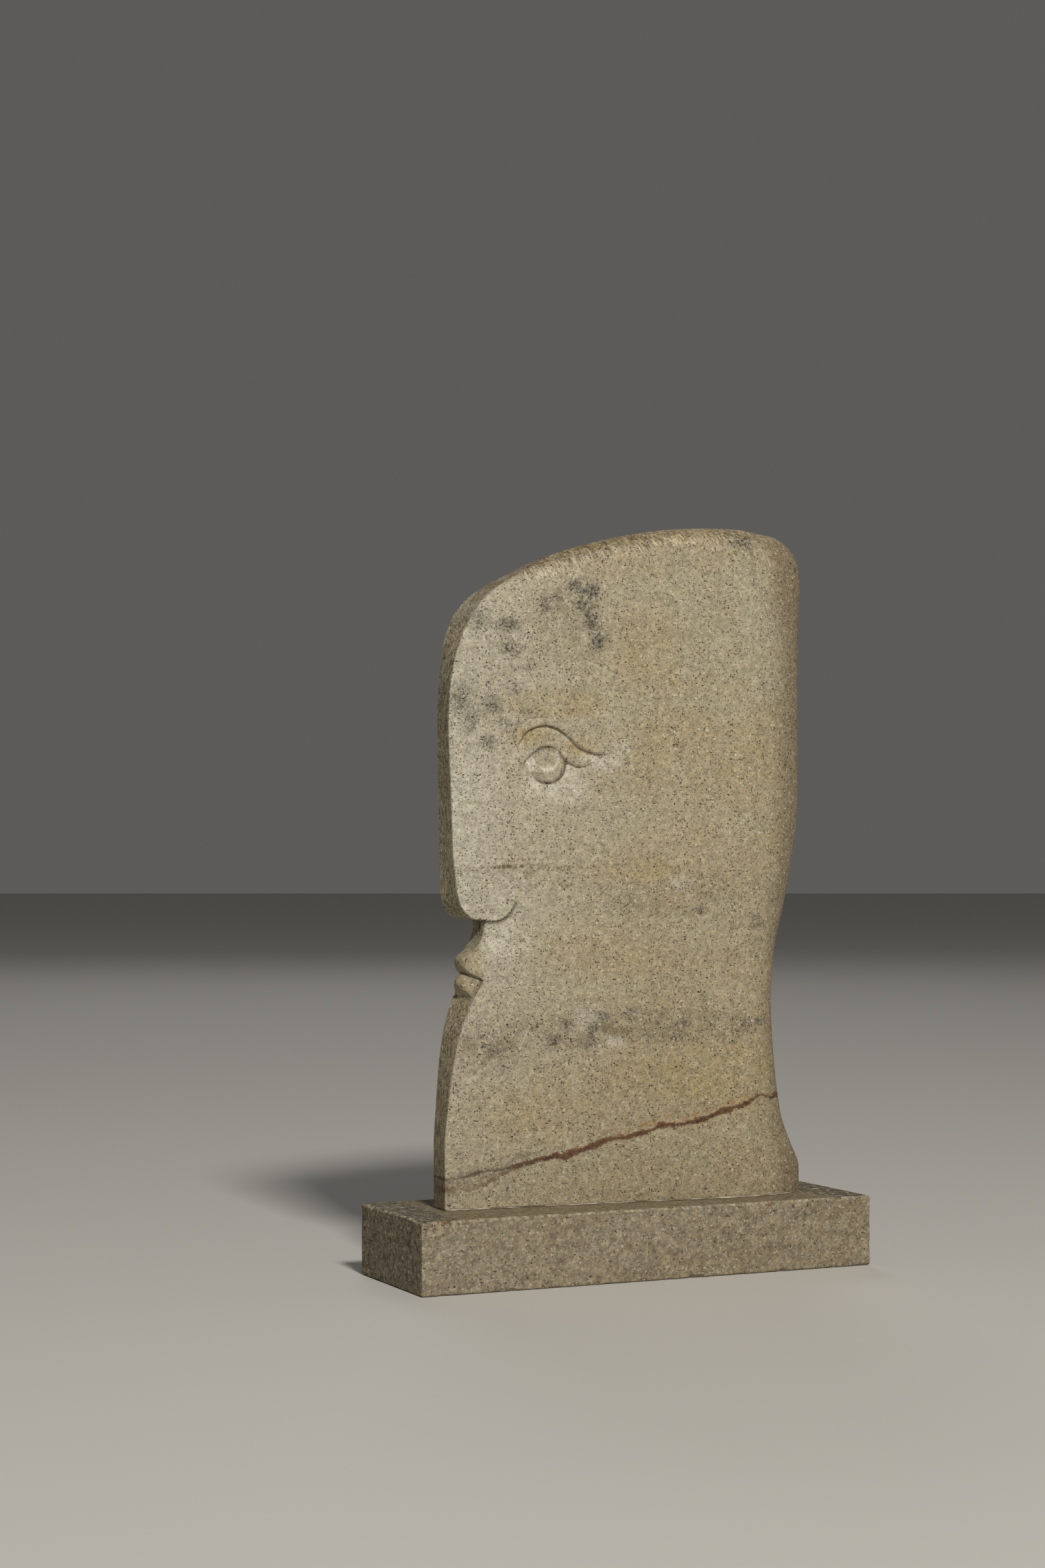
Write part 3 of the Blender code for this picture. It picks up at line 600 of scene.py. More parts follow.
def eyeCarving(x, z):
    # Depth below the side in millimetres. The brow rounds down to the lid's upper line, the lid starts sunk there and
    # swells to a roll, and under its lower line a cove leads to the ball, a dome with a dished iris. The cheek falls
    # away to the ball's edge and to the lid's tail. Also gives how much of the cheek is freshly dressed, and how dark
    # the carved lines are painted: partly dirt, partly painted shade in the recesses.
    c = carving
    aboveUpper, alongUpper = nearLine(x, z, curveThrough(c["lidUpper"], 8))
    aboveLower, alongLower = nearLine(x, z, curveThrough(c["lidLower"], 8))
    tail = smoothStep(*c["tail"], x)
    ends = smoothStep(0, 0.06, alongUpper) * smoothStep(1.0, 0.88, alongUpper)
    browRoll = between(c["browRoll"], tail) * ends
    brow = browRoll * np.clip(1 - aboveUpper / between(c["browWidth"], tail), 0, 1) ** 2 * (aboveUpper > 0)
    sunk = between(c["lidSunk"], tail) * ends
    below = np.clip(-aboveUpper, 0, None)
    lid = (browRoll + sunk * cove(below, c["upperCove"])) * smoothStep(c["lidRise"], 1.2, below)
    roll = between(c["lidRoll"], tail) * np.clip(1 - aboveLower / between(c["rollWidth"], tail), 0, 1) ** 2
    roll = roll * smoothStep(0, 0.2, alongLower) * smoothStep(1.0, 0.85, alongLower)
    lid = (lid + roll * (aboveUpper < 0)) * (aboveUpper <= 0) * (aboveLower >= 0)
    lid = lid * smoothStep(*c["lidReach"], below)

    dx, dz = x - c["eyeCentre"][0], z - c["eyeCentre"][1]
    r = np.hypot(dx, dz) / c["eyeRadius"]
    turnDown = (1 + np.clip((dx - dz) / np.hypot(dx, dz).clip(1) / math.sqrt(2), -1, 1)) / 2
    rimDepth = between(c["eyeDepth"], smoothStep(0.15, 0.6, turnDown))
    ball = c["eyeCrest"] + (rimDepth - c["eyeCrest"]) * (1 - np.sqrt(1 - np.clip(r, 0, 1) ** 2))
    ball = ball + c["eyeTilt"] * np.clip(dz / c["eyeRadius"], 0, 1) ** 1.5
    reach = between(c["eyeReach"], turnDown)
    beyond = np.clip((r - 1) * c["eyeRadius"] / reach, 0, 1)
    cheek = c["cheekShare"] * rimDepth * (1 - beyond) ** 1.5
    under = between(c["underDepth"], tail) * np.clip(1 + aboveLower / c["underReach"], 0, 1) ** 1.5
    under = under * smoothStep(0.02, 0.25, alongLower) * smoothStep(1.0, 0.84, alongLower)
    around = np.maximum(cheek, under)
    rim = smoothStep(1 + 0.6 / c["eyeRadius"], 1 - 0.1 / c["eyeRadius"], r)
    hollow = around * (1 - rim) + ball * rim
    toIris = np.hypot(x - c["irisCentre"][0], z - c["irisCentre"][1])
    dish = c["irisDepth"] * (1 - np.clip(toIris / c["irisRadius"], 0, 1) ** c["irisPower"]) + 0.3
    hollow = np.where(toIris < c["irisRadius"], np.maximum(hollow, dish), hollow)
    px, pz = x - c["pupilCentre"][0], z - c["pupilCentre"][1]
    arms = smoothStep(1.2, 0.2, np.minimum(np.abs(px - 0.25 * pz), np.abs(pz + 0.3 * px)))
    hollow = hollow + c["pupilDepth"] * arms * smoothStep(c["pupilRadius"], 1.5, np.hypot(px, pz))
    hollow = hollow * cove(-aboveLower, between(c["lidCove"], tail))

    line, aboveBrow, fade = groove(x, z, c["browLine"], c["browLineWidth"])
    band = c["browBandDepth"] * fade * smoothStep(0.6, -0.4, aboveBrow) * smoothStep(-0.2, 0.8, aboveUpper)
    band = band * smoothStep(*c["browBandReach"], np.abs(aboveBrow))
    scratch = groove(x, z, c["scratch"], c["scratchWidth"])[0]
    marks = c["browLineDepth"] * line + band + c["scratchDepth"] * scratch

    # dirt and painted shade in the lines: the lid's upper and lower one, under the ball, at the iris's upper edge,
    # in the pupil and along the brow
    toRim = (r - 1) * c["eyeRadius"]
    toEdge = np.abs(toIris - c["irisRadius"] + 0.4)
    underLid = aboveLower < 0
    lowerEnds = smoothStep(0, 0.1, alongLower) * smoothStep(1.0, 0.9, alongLower)
    dirtAndShade = np.maximum.reduce([
        0.9 * ends * smoothStep(2.4, 0.2, np.abs(aboveUpper)),
        lowerEnds * smoothStep(0.8, -0.4, aboveLower) * smoothStep(-3.6 + 1.4 * tail, -0.6, aboveLower),
        smoothStep(0.3, 0.8, turnDown) * smoothStep(-6.5, -0.2, toRim) * smoothStep(1.6, 0.2, toRim) * underLid,
        0.85 * smoothStep(2.4, 0.3, toEdge) * smoothStep(-6, 8, z - c["irisCentre"][1]) * underLid,
        0.5 * arms * smoothStep(c["pupilRadius"] + 1, 2.0, np.hypot(px, pz)),
        0.5 * line])
    return brow + lid + hollow + marks, around * underLid * (1 - rim), dirtAndShade


def noseCarving(x, z):
    # depth in millimetres: a cove along the round edge of the nose's lobe, wider and deeper underneath, whose floor
    # rises again over its reach
    c = carving
    dx, dz = x - c["noseCentre"][0], z - c["noseCentre"][1]
    r = np.hypot(dx, dz)
    turn = np.degrees(np.arctan2(dz, dx))
    under = (dx < 0) & (dz < 0)
    out = np.where(under, -dz, r) - c["noseRadius"]
    strength = np.where(under, 1.0, smoothStep(c["noseFade"][0], c["noseFade"][1], turn) * (turn > -91))
    lowness = smoothStep(0.2, -0.95, dz / r.clip(1))
    fall = np.clip(1 - np.clip(out, 0, None) / c["cheekReach"], 0, 1) ** 1.6
    return between(c["noseStep"], lowness) * strength * fall * cove(out, between(c["noseCove"], lowness))


def carvedDepth(x, z):
    # the nose's carving and, in the window round the eye, the eye's
    depth = noseCarving(x, z)
    nearEye = near(x, z, carving["eyeWindow"])
    depth[nearEye] += eyeCarving(x[nearEye], z[nearEye])[0]
    return depth


def handWorn(x, z, seed):
    # small unevenness of the rubbed side in millimetres: slow, middle and small lumps added up
    places = np.stack([x, z], -1)
    return sum(height * lumps(places, size, seed + k) for k, (size, height) in enumerate(surfaceWear["lumps"]))


class SideGrid:
    # One side of the head as a grid: columns run up and rows run from the face to where the back rounds off.
    # In the band behind the face the columns keep their share of the way from the outline to bandEnd, and above
    # split the rows spread out to end on the crown's curve.

    def __init__(self, side, arris, inset, rowPlaces, crownPlaces, columns):
        # side is -1 near the camera and 1 far from it; body holds the rows' heights, evened out below split
        s = headShape
        self.side = side
        inner = arris[:, :2] + inset
        inner[:, 0] -= side * arris[:, 2]
        self.rows, self.columns = len(rowPlaces) - 1, len(columns) - 1
        self.front = at(inner, rowPlaces)
        self.top = at(inner, crownPlaces)
        self.share = np.clip(columns, 0, 1)
        self.further = np.clip(columns - 1, 0, None) * 1000
        height = self.front[:, 1]
        split = np.argmin(np.abs(height - s["split"]))
        low, wide = height[:split + 1], s["smoothRows"]
        kernel = np.exp(-0.5 * (np.arange(-wide, wide + 1) / s["smoothWidth"]) ** 2)
        padded = np.concatenate([2 * low[0] - low[wide:0:-1], low, 2 * low[-1] - low[-2:-2 - wide:-1]])
        self.body = height.copy()
        self.body[:split + 1] = np.convolve(padded, kernel / kernel.sum(), "valid")
        self.splitHeight = height[split]
        self.rise = np.clip((height - self.splitHeight) / (height[-1] - self.splitHeight), 0, 1)

    def places(self, i, j):
        # profile places of the grid points with column numbers i and row numbers j, which may be fractions
        s = headShape
        row, column = np.arange(self.rows + 1), np.arange(self.columns + 1)
        frontX, frontZ = (np.interp(j, row, self.front[:, k]) for k in (0, 1))
        body, rise = np.interp(j, row, self.body), np.interp(j, row, self.rise)
        share, further = np.interp(i, column, self.share), np.interp(i, column, self.further)
        topX, topZ = (np.interp(i, column, self.top[:, k]) for k in (0, 1))
        x = frontX + share * (s["bandEnd"] - frontX) + further
        atTop = self.front[-1, 0] + share * (s["bandEnd"] - self.front[-1, 0]) + further
        x = x + rise ** 2 * (topX - atTop)
        blend = smoothStep(0.0, 1.0, share)
        low = frontZ * (1 - blend) + body * blend
        high = self.splitHeight + rise * (topZ - self.splitHeight)
        return x, np.where(rise > 0, high, low)

    def reach(self, x, z):
        # distance of the side from the middle plane
        seed = surfaceWear["nearSeed" if self.side < 0 else "farSeed"]
        return halfWidth(x) - carvedDepth(x, z) - handWorn(x, z, seed)


def cutFiner(rows, columns, blocks, topParts):
    # Grid numbers and faces for rows by columns cells. Each block (low row, high row, low column, high column, parts)
    # is cut finer, and the cells round it, like those under the crown, take the extra points into their outline.
    base = np.arange((rows + 1) * (columns + 1)).reshape(rows + 1, columns + 1)
    j, i = [c.ravel().astype(float) for c in np.meshgrid(np.arange(rows + 1), np.arange(columns + 1), indexing="ij")]
    i, j, count = [i], [j], base.size
    whole = np.ones((rows, columns), bool)
    faces = []
    for low, high, left, right, parts in blocks:
        whole[low:high, left:right] = False
        fine = np.full(((high - low) * parts + 1, (right - left) * parts + 1), -1)
        fine[0, ::parts], fine[-1, ::parts] = base[low, left:right + 1], base[high, left:right + 1]
        fine[::parts, 0], fine[::parts, -1] = base[low:high + 1, left], base[low:high + 1, right]
        new = fine < 0
        fine[new] = count + np.arange(new.sum())
        count += new.sum()
        up, across = np.linspace(low, high, fine.shape[0]), np.linspace(left, right, fine.shape[1])
        fj, fi = np.meshgrid(up, across, indexing="ij")
        i.append(fi[new])
        j.append(fj[new])
        faces += gridFaces(fine)
        for k in range(left, right):
            a, b = (k - left) * parts, (k - left + 1) * parts
            faces.append([base[low - 1, k], base[low - 1, k + 1], *fine[0, b:a:-1], base[low, k]])
            faces.append([*fine[-1, a:b], base[high, k + 1], base[high + 1, k + 1], base[high + 1, k]])
            whole[low - 1, k] = whole[high, k] = False
        for k in range(low, high):
            a, b = (k - low) * parts, (k - low + 1) * parts
            faces.append([base[k, left - 1], *fine[a:b, 0], base[k + 1, left], base[k + 1, left - 1]])
            faces.append([base[k, right + 1], base[k + 1, right + 1], *fine[b:a:-1, -1], base[k, right]])
            whole[k, left - 1] = whole[k, right] = False
    for k in range(columns):
        extra = np.arange(topParts - 1, 0, -1)
        faces.append([base[-2, k], base[-2, k + 1], base[-1, k + 1], *(count + np.arange(len(extra))), base[-1, k]])
        i.append(k + extra / topParts)
        j.append(np.full(len(extra), float(rows)))
        count += len(extra)
        whole[-1, k] = False
    quads = np.array(gridFaces(base))[whole.ravel()].tolist()
    return np.concatenate(i), np.concatenate(j), [[int(n) for n in face] for face in faces] + quads


def chiselStrokes(along, inwards, crown):
    # depth of the slanting claw strokes over the crown's rounding, in millimetres: rounded furrows, broken up
    w = surfaceWear
    places = np.stack([along, inwards], -1)
    phase = (along - w["strokeSlant"] * inwards) / w["strokePitch"]
    phase = phase + w["strokeWander"] * lumps(places, w["wanderSize"], 51)
    furrow = (0.5 + 0.5 * np.cos(2 * np.pi * phase)) ** 1.5
    patchy = smoothStep(-0.7, 0.5, lumps(places, w["patchSize"], 53)) * smoothStep(*w["strokeReach"], inwards)
    return w["strokeDepth"] * furrow * patchy * crown


def carveHead():
    # the two sides as grids, a rounded skin from one side's edge over to the other's, and a flat foot
    s = headShape
    arris, middle, corner = headOutline()
    inset, radius, crown, flat, crest = roundingOf(arris)
    gap = np.interp(arris[:corner + 1, 1], *np.transpose(s["rowGaps"]))
    rowPlaces = pickAlong((arris + middle)[:corner + 1] / 2, gap)
    band = np.linspace(0, 1, s["bandColumns"] + 1) ** s["bandCrowding"]
    eyeColumns = np.arange(s["bandEnd"] + s["eyeColumnGap"], s["eyeColumnsEnd"], s["eyeColumnGap"])
    cheekCount = int((s["backRoundStart"] - eyeColumns[-1]) / s["cheekColumnGap"])
    cheekColumns = np.linspace(eyeColumns[-1], s["backRoundStart"], cheekCount + 1)[1:]
    columns = np.concatenate([band, 1 + (np.concatenate([eyeColumns, cheekColumns]) - s["bandEnd"]) / 1000])
    inner = arris[:, :2] + inset
    atTop = between((inner[corner, 0], s["bandEnd"]), np.clip(columns, 0, 1)) + np.clip(columns - 1, 0, None) * 1000
    crownPlaces = np.interp(atTop, inner[corner:crest + 1, 0], np.arange(corner, crest + 1))
    grids = [SideGrid(side, arris, inset, rowPlaces, crownPlaces, columns) for side in (-1, 1)]
    rows, count = grids[0].rows, grids[0].columns

    # the walk round the edge of a side: up the face, along the crown and down the back
    fineColumns = np.arange(1, count * s["crownParts"] + 1) / s["crownParts"]
    walkI = np.concatenate([np.zeros(rows + 1), fineColumns, np.full(rows, float(count))])
    walkJ = np.concatenate([np.arange(rows + 1.0), np.full(len(fineColumns), float(rows)),
                            np.arange(rows - 1.0, -1, -1)])
    backZ = grids[0].places(walkI[-rows:], walkJ[-rows:])[1]
    order = np.arange(len(arris) - 1, crest - 1, -1)
    backPlaces = np.interp(backZ, inner[order, 1], order)
    outPlaces = np.concatenate([rowPlaces, np.interp(fineColumns, np.arange(count + 1), crownPlaces), backPlaces])
    outline, middleLine = at(arris, outPlaces), at(middle, outPlaces)
    crownShare, flatHere, radiusHere = at(np.stack([crown, flat, radius], 1), outPlaces).T
    passed = np.concatenate([[0], np.cumsum(np.linalg.norm(np.diff(outline[:, :2], axis=0), axis=1))])

    turn = np.linspace(math.pi / 2, 0, s["roundSteps"] + 1)
    strokes = smoothStep(*surfaceWear["strokeStart"], outline[:, 0]) * crownShare
    strokes = strokes * smoothStep(*surfaceWear["strokeEnd"], outline[:, 0])
    strokes = strokes * (outline[:, 1] > surfaceWear["strokeAbove"])
    parts, faces, start, skins = [], [], 0, {}
    for grid in grids:
        left = int(np.searchsorted(columns, s["eyeFrom"]))
        right = int(np.searchsorted(columns, 1 + (s["eyeTo"] - s["bandEnd"]) / 1000))
        blocks = [(*np.searchsorted(grid.body, s["eyeRows"]), left, right, s["eyeParts"][grid.side > 0])]
        if grid.side < 0:
            noseRows = np.searchsorted(grid.body, s["noseRows"])
            blocks.append((*noseRows, 1, s["bandColumns"] + 1, s["noseParts"]))
        i, j, sideFaces = cutFiner(rows, count, blocks, s["crownParts"])
        x, z = grid.places(i, j)
        parts.append(np.stack([x, grid.side * grid.reach(x, z), z], -1))
        faces += [[n + start for n in face] for face in sideFaces]
        start += len(x)
        x, z = grid.places(walkI, walkJ)
        reach = grid.reach(x, z)
        outer = outline[:, :2] - np.stack([grid.side * outline[:, 2], 0 * outline[:, 2]], 1)
        way = np.stack([x, z], -1) - outer
        edge = (reach - radiusHere) * (1 - crownShare) + flatHere * crownShare
        spread = outer[:, None] + way[:, None] * (1 - np.cos(turn))[None, :, None]
        width = edge[:, None] + (reach - edge)[:, None] * np.sin(turn)
        length = np.linalg.norm(way, axis=1)[:, None]
        outwards, sideways = (reach - edge)[:, None] * np.cos(turn), length * np.sin(turn)
        normal = np.concatenate([-way[:, None] / length[..., None] * outwards[..., None], sideways[..., None]], -1)
        normal /= np.linalg.norm(normal, axis=-1)[..., None]
        depth = chiselStrokes(passed[:, None] + 0 * width, length * (1 - np.cos(turn)) + 3, strokes[:, None])
        depth[:, 0] = 0
        spread = spread - normal[..., :2] * depth[..., None]
        width = width - normal[..., 2] * depth
        skins[grid.side] = np.stack([spread[..., 0], grid.side * width, spread[..., 1]], -1)

    # across the edge from the near arris to the far one; the lower lip swells as a ball inside the arrises, and the
    # upper one as a roll from side to side
    share = (1 - np.cos(np.linspace(0, math.pi, s["edgeSteps"] + 1)[1:-1]))[None, :, None] / 2
    strip = skins[-1][:, -1:] * (1 - share) + skins[1][:, -1:] * share
    skin = np.concatenate([skins[-1], strip, skins[1][:, ::-1]], 1)
    swell = (middleLine - outline)[:, :2]
    offMiddle = skin[..., 1] / np.where(skin[..., 1] < 0, -skin[:, :1, 1], skin[:, -1:, 1])
    lowerSwell = np.sqrt(np.clip(1 - (offMiddle / s["lowerLipShare"]) ** 2, 0, 1))
    upperSwell = np.sqrt(np.clip(1 - offMiddle ** 2, 0, 1))
    isUpper = smoothStep(0.0, 4.0, outline[:, 1] - s["upperLip"][0][1])[:, None]
    swelling = lowerSwell * (1 - isUpper) + upperSwell * isUpper
    skin[..., 0] += swell[:, :1] * swelling
    skin[..., 2] += swell[:, 1:] * swelling
    number = np.arange(skin.shape[0] * skin.shape[1]).reshape(skin.shape[:2]) + start
    faces += gridFaces(number)
    parts.append(skin.reshape(-1, 3))

    # the foot: one flat face round the lowest row
    points = np.vstack(parts)
    nearFoot = np.arange(count + 1)
    farFoot = nearFoot + len(parts[0])
    loop = [*nearFoot, *number[-1, 1:-1], *farFoot[::-1], *number[0, 1:-1][::-1]]
    faces.append([int(n) for n in loop])
    foot = points[loop]

    faceX = headHigh.x - arris[:, 0].max() * unit
    world = np.stack([faceX + points[:, 0] * unit, points[:, 1] * unit, headLow.z + points[:, 2] * unit], -1)
    head = makePiece("carvedHead", world, faces, warmStone, 75)
    foot = np.stack([faceX + foot[:, 0] * unit, foot[:, 1] * unit], -1)
    return head, faceX, foot


stains = {
    # (behind the face's foot, above the head's foot, half width, half height, strength), in drawn millimetres
    "smoke": ((184, 735, 13, 12, 1.5), (163, 740, 10, 10, 1.2), (172, 719, 9, 8, 1.3), (184, 702, 9, 16, 1.5),
              (194, 676, 9, 12, 1.3), (79, 692, 18, 8, 1.0), (124, 717, 10, 9, 0.9), (82, 663, 16, 9, 0.9),
              (108, 643, 10, 7, 0.8), (92, 614, 7, 5, 0.7), (18, 604, 14, 20, 0.7), (33, 580, 9, 18, 0.7),
              (40, 696, 16, 14, 0.6), (60, 596, 14, 12, 0.6), (106, 588, 12, 7, 0.5), (74, 574, 10, 8, 0.6),
              (54, 552, 12, 10, 0.6), (387, 802, 22, 10, 0.9), (140, 727, 12, 8, 0.5), (152, 216, 7, 9, 0.7),
              (200, 223, 8, 7, 0.7), (187, 209, 8, 8, 0.8), (138, 196, 10, 8, 0.8), (184, 192, 12, 6, 0.7),
              (234, 231, 12, 8, 0.6), (256, 197, 9, 7, 0.6), (306, 213, 8, 7, 0.8), (296, 196, 8, 6, 0.6),
              (327, 351, 7, 6, 0.9), (403, 336, 12, 9, 0.6), (391, 214, 7, 5, 1.0), (411, 214, 7, 5, 1.0),
              (60, 188, 20, 10, 0.5)),
    "dusk": ((170, 208, 120, 22, 1.0), (310, 210, 120, 22, 0.9), (50, 190, 60, 26, 0.8), (160, 690, 60, 50, 0.5),
             (60, 610, 60, 60, 0.3), (300, 372, 140, 30, 0.5), (410, 350, 60, 60, 0.4), (250, 96, 110, 14, 0.2)),
    "honey": ((140, 600, 70, 20, 0.8), (110, 560, 40, 14, 0.7), (165, 548, 30, 12, 0.7), (250, 400, 60, 16, 0.7),
              (330, 150, 130, 50, 0.6), (340, 560, 110, 130, 0.35), (270, 660, 60, 60, 0.5),
              (420, 500, 50, 120, 0.4), (120, 110, 80, 40, 0.5), (190, 300, 80, 30, 0.4)),
    "bruise": ((30, 470, 26, 95, 0.5), (72, 312, 28, 30, 0.75), (60, 350, 20, 22, 0.3), (200, 530, 30, 14, 0.8),
               (222, 548, 16, 10, 0.8), (155, 500, 34, 22, 0.7), (40, 520, 30, 40, 0.3), (108, 527, 6, 9, 1.6),
               (180, 225, 22, 12, 0.7), (215, 193, 16, 8, 0.7), (300, 385, 20, 14, 0.5)),
    "speckle": ((150, 207, 130, 24, 0.9), (300, 210, 110, 28, 0.9), (420, 212, 60, 24, 0.8),
                (300, 360, 160, 34, 0.5), (60, 40, 60, 14, 0.5), (120, 700, 90, 60, 0.6), (50, 590, 50, 70, 0.6),
                (330, 340, 120, 30, 0.4), (75, 403, 30, 5, 1.4), (125, 404, 30, 5, 1.4), (152, 402, 6, 8, 2.0)),
    "halo": ((270, 95, 130, 18, 1.0), (245, 100, 22, 8, 1.0), (380, 115, 50, 12, 0.7)),
    "wedge": ((108.5, 526, 5, 9, 1.0),),
    # lines of places behind the face's foot and above the head's foot
    "vein": ((4, 23), (30, 25), (58, 33), (98, 50), (138, 59), (152, 58), (170, 64), (187, 69), (202, 75), (223, 76),
             (242, 80), (259, 84), (277, 91), (299, 90), (318, 93), (336, 97), (354, 103), (373, 108), (391, 114),
             (410, 123), (430, 119), (490, 130)),
    "strand": ((4, 36), (27, 39), (58, 45), (92, 49), (116, 53), (138, 59), (490, 150)),
    "bedding": ((20, 400), (47, 401), (89, 404), (152, 402), (259, 408), (300, 396), (371, 388), (443, 380),
                (490, 378)),
    # the painted highlight on the iris's lower edge: from and to which radii it is pale; crest is the painted highlight
    # along the upper edge of the nose's lobe
    "glintInner": (11.5, 13.5), "glintOuter": (16.8, 15.5), "glint": 0.7, "crest": 0.6,
    "eyeWindow": (160, 100, 520, 70), "dressedDepth": 3.0,
    # strengths of the dirt and painted shade in the lines, round the nose's lobe and beside the lower lip, and of the
    # painted shade on the face's edge and on the back's rounding
    "creaseShare": 0.75, "lobeShare": 0.8, "besideBall": 0.5, "edgeShade": 0.8, "backShade": 0.85,
    "lips": (246, 256, 325, 308), "onLipsShade": 0.6,
}


def spread(x, z, patches):
    # soft oval patches, the strongest of those that reach a point
    total = np.zeros_like(x)
    for cx, cz, wide, high, strength in patches:
        away = np.hypot((x - cx) / wide, (z - cz) / high)
        total = np.maximum(total, strength * smoothStep(1.35, 0.35, away))
    return total


def stainHead(head, faceX):
    # Every field that the head's stone reads: strengths from 0 to 1, and millimetres above the sheets of the vein,
    # its strand and the bedding. Each is a product of smooth steps in x and z, the places in the profile, and in
    # inFromSide, how far a point lies inside the side's own surface.
    places = cornersOf(head.data)
    x, y, z = (places[:, 0] - faceX) / unit, places[:, 1] / unit, (places[:, 2] - headLow.z) / unit
    inFromSide = halfWidth(x) - np.abs(y) - carvedDepth(x, z)
    onSide = smoothStep(6, 1, inFromSide)
    fields = {name: spread(x, z, stains[name]) for name in ("smoke", "dusk", "honey", "speckle")}
    fields["veinHalo"] = spread(x, z, stains["halo"])
    for name, line in (("vein", "veinOffset"), ("strand", "strandOffset"), ("bedding", "bedOffset")):
        fields[line] = z - np.interp(x, *np.transpose(stains[name]))
    fields["veinStrength"] = 0.35 + 0.65 * smoothStep(60, 140, x)
    fields["veinSmoke"] = smoothStep(160, 100, x)
    fields["bedStrength"] = (0.25 + 0.75 * smoothStep(40, 60, x) * smoothStep(185, 160, x)) * onSide

    # pale where it was dressed round the eye and in the iris's corner, and painted highlights on the iris's lower edge
    # and along the upper edge of the nose's lobe, where their walls face the light
    _, dressed, dirtAndShade = eyeCarving(x, z)
    nearEye = near(x, z, stains["eyeWindow"])
    dressed = np.where(nearEye, dressed / stains["dressedDepth"], 0)
    fields["bruise"] = np.clip(np.maximum(spread(x, z, stains["bruise"]), dressed), 0, 1.4) * 0.75 * onSide
    irisX, irisZ = x - carving["irisCentre"][0], z - carving["irisCentre"][1]
    toIris = np.hypot(irisX, irisZ)
    glint = smoothStep(*stains["glintInner"], toIris) * smoothStep(*stains["glintOuter"], toIris)
    glint = stains["glint"] * glint * smoothStep(-4, 8, irisX - irisZ)
    wedge = 0.6 * spread(x, z, stains["wedge"]) * (toIris > 17)
    dx, dz = x - carving["noseCentre"][0], z - carving["noseCentre"][1]
    toLobe = np.where(dx < 0, -dz, np.hypot(dx, dz)) - carving["noseRadius"]
    # painted highlight along the upper edge of the nose's lobe
    crest = stains["crest"] * smoothStep(1.8, 0.4, np.abs(toLobe + 0.8)) * smoothStep(-12, 6, dz) * (dx > 0)
    fields["chalkAndHighlight"] = np.maximum.reduce([glint, wedge, crest]) * onSide

    # dirt and painted shade: in the eye's lines, under the nose's lobe and in the groove beside the lower lip
    lobe = smoothStep(-1.5, 0.6, toLobe) * smoothStep(7.0, 1.0, toLobe) * smoothStep(8, -14, dz)
    lobe = stains["lobeShare"] * lobe * (x < 95) * (z > 325)
    besideBall = smoothStep(0.8, 2.2, inFromSide) * smoothStep(6.5, 3.6, inFromSide) * (x < 60)
    besideBall = stains["besideBall"] * besideBall * smoothStep(247, 254, z) * smoothStep(277, 270, z)
    fields["crease"] = stains["creaseShare"] * np.maximum(dirtAndShade * nearEye, lobe) * smoothStep(8, 3, inFromSide)
    fields["crease"] += besideBall

    # the face's edge, the lips, the crown and the back: painted shade on the face's edge and on the back's rounding,
    # patina and painted shade on the crown's rounding
    lips = stains["lips"]
    onLips = smoothStep(lips[0], lips[1], z) * smoothStep(lips[2], lips[3], z)
    onEdge = smoothStep(1.0, 4.0, inFromSide) * smoothStep(120, 60, x) * smoothStep(720, 690, z)
    fields["tooled"] = onEdge * (1 - onLips)
    fields["edgeShade"] = stains["edgeShade"] * onEdge * (1 - stains["onLipsShade"] * onLips)
    fields["honey"] = np.maximum(fields["honey"], 0.6 * onLips * smoothStep(52, 40, x))
    fields["combed"] = smoothStep(0.15, 1.2, inFromSide) * smoothStep(690, 725, z) * smoothStep(60, 130, x)
    fields["combed"] *= smoothStep(445, 400, x) * smoothStep(-0.7, 0.3, lumps(np.stack([x, z], -1), 24.0, 53) + 0.6)
    crown = smoothStep(0.5, 10, inFromSide) * smoothStep(690, 740, z)
    fields["crownPatinaAndShade"] = crown * (0.6 + 0.35 * smoothStep(330, 200, x))
    fields["backShade"] = stains["backShade"] * smoothStep(392, 462, x) * smoothStep(0.3, 10, inFromSide)
    for name, values in fields.items():
        giveField(head.data, name, values)


head, faceX, footLoop = carveHead()
stainHead(head, faceX)
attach(head, "root")
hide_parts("head")
print("head carved")


# the plinth: a sawn block with worn and chipped edges

plinthShape = {
    "round": 3.2,                              # millimetres, as all here
    "gapLong": 3.0, "gapAcross": 4.5,          # spacing of the mesh along and across the block
    "chipGap": 34.0, "chipWidth": (2.5, 8.0), "chipDepth": (0.5, 2.2), "chipSeed": 100,
    "nibble": 0.35, "nibbleSize": 5.0, "wave": 0.25, "waveSize": 45.0, "rippleSize": 14.0, "sunk": 0.3,
    # where the painted shade on the top's ends starts, from the middle of the head's foot, and the depth of the top's
    # and the left end's painted shade
    "footMiddle": -4.0, "ends": (238, 256), "topSkin": (3.0, 1.0), "leftSkin": (4, 1.5),
    "rustySpots": ((-270, 84, 10, 4, 1.0), (158, 83, 4, 4, 1.0)),
}


def edgeCrowded(half, gap, rounding):
    # places from -half to half: a regular gap in the middle, closer near the ends
    near = half - np.array([0, 0.35, 0.7, 1.0, 1.6, 2.4, 3.6]) * rounding
    inside = half - 3.6 * rounding
    count = max(int(2 * inside / gap), 1)
    return np.concatenate([-near, np.linspace(-inside, inside, count + 1)[1:-1], near[::-1]])


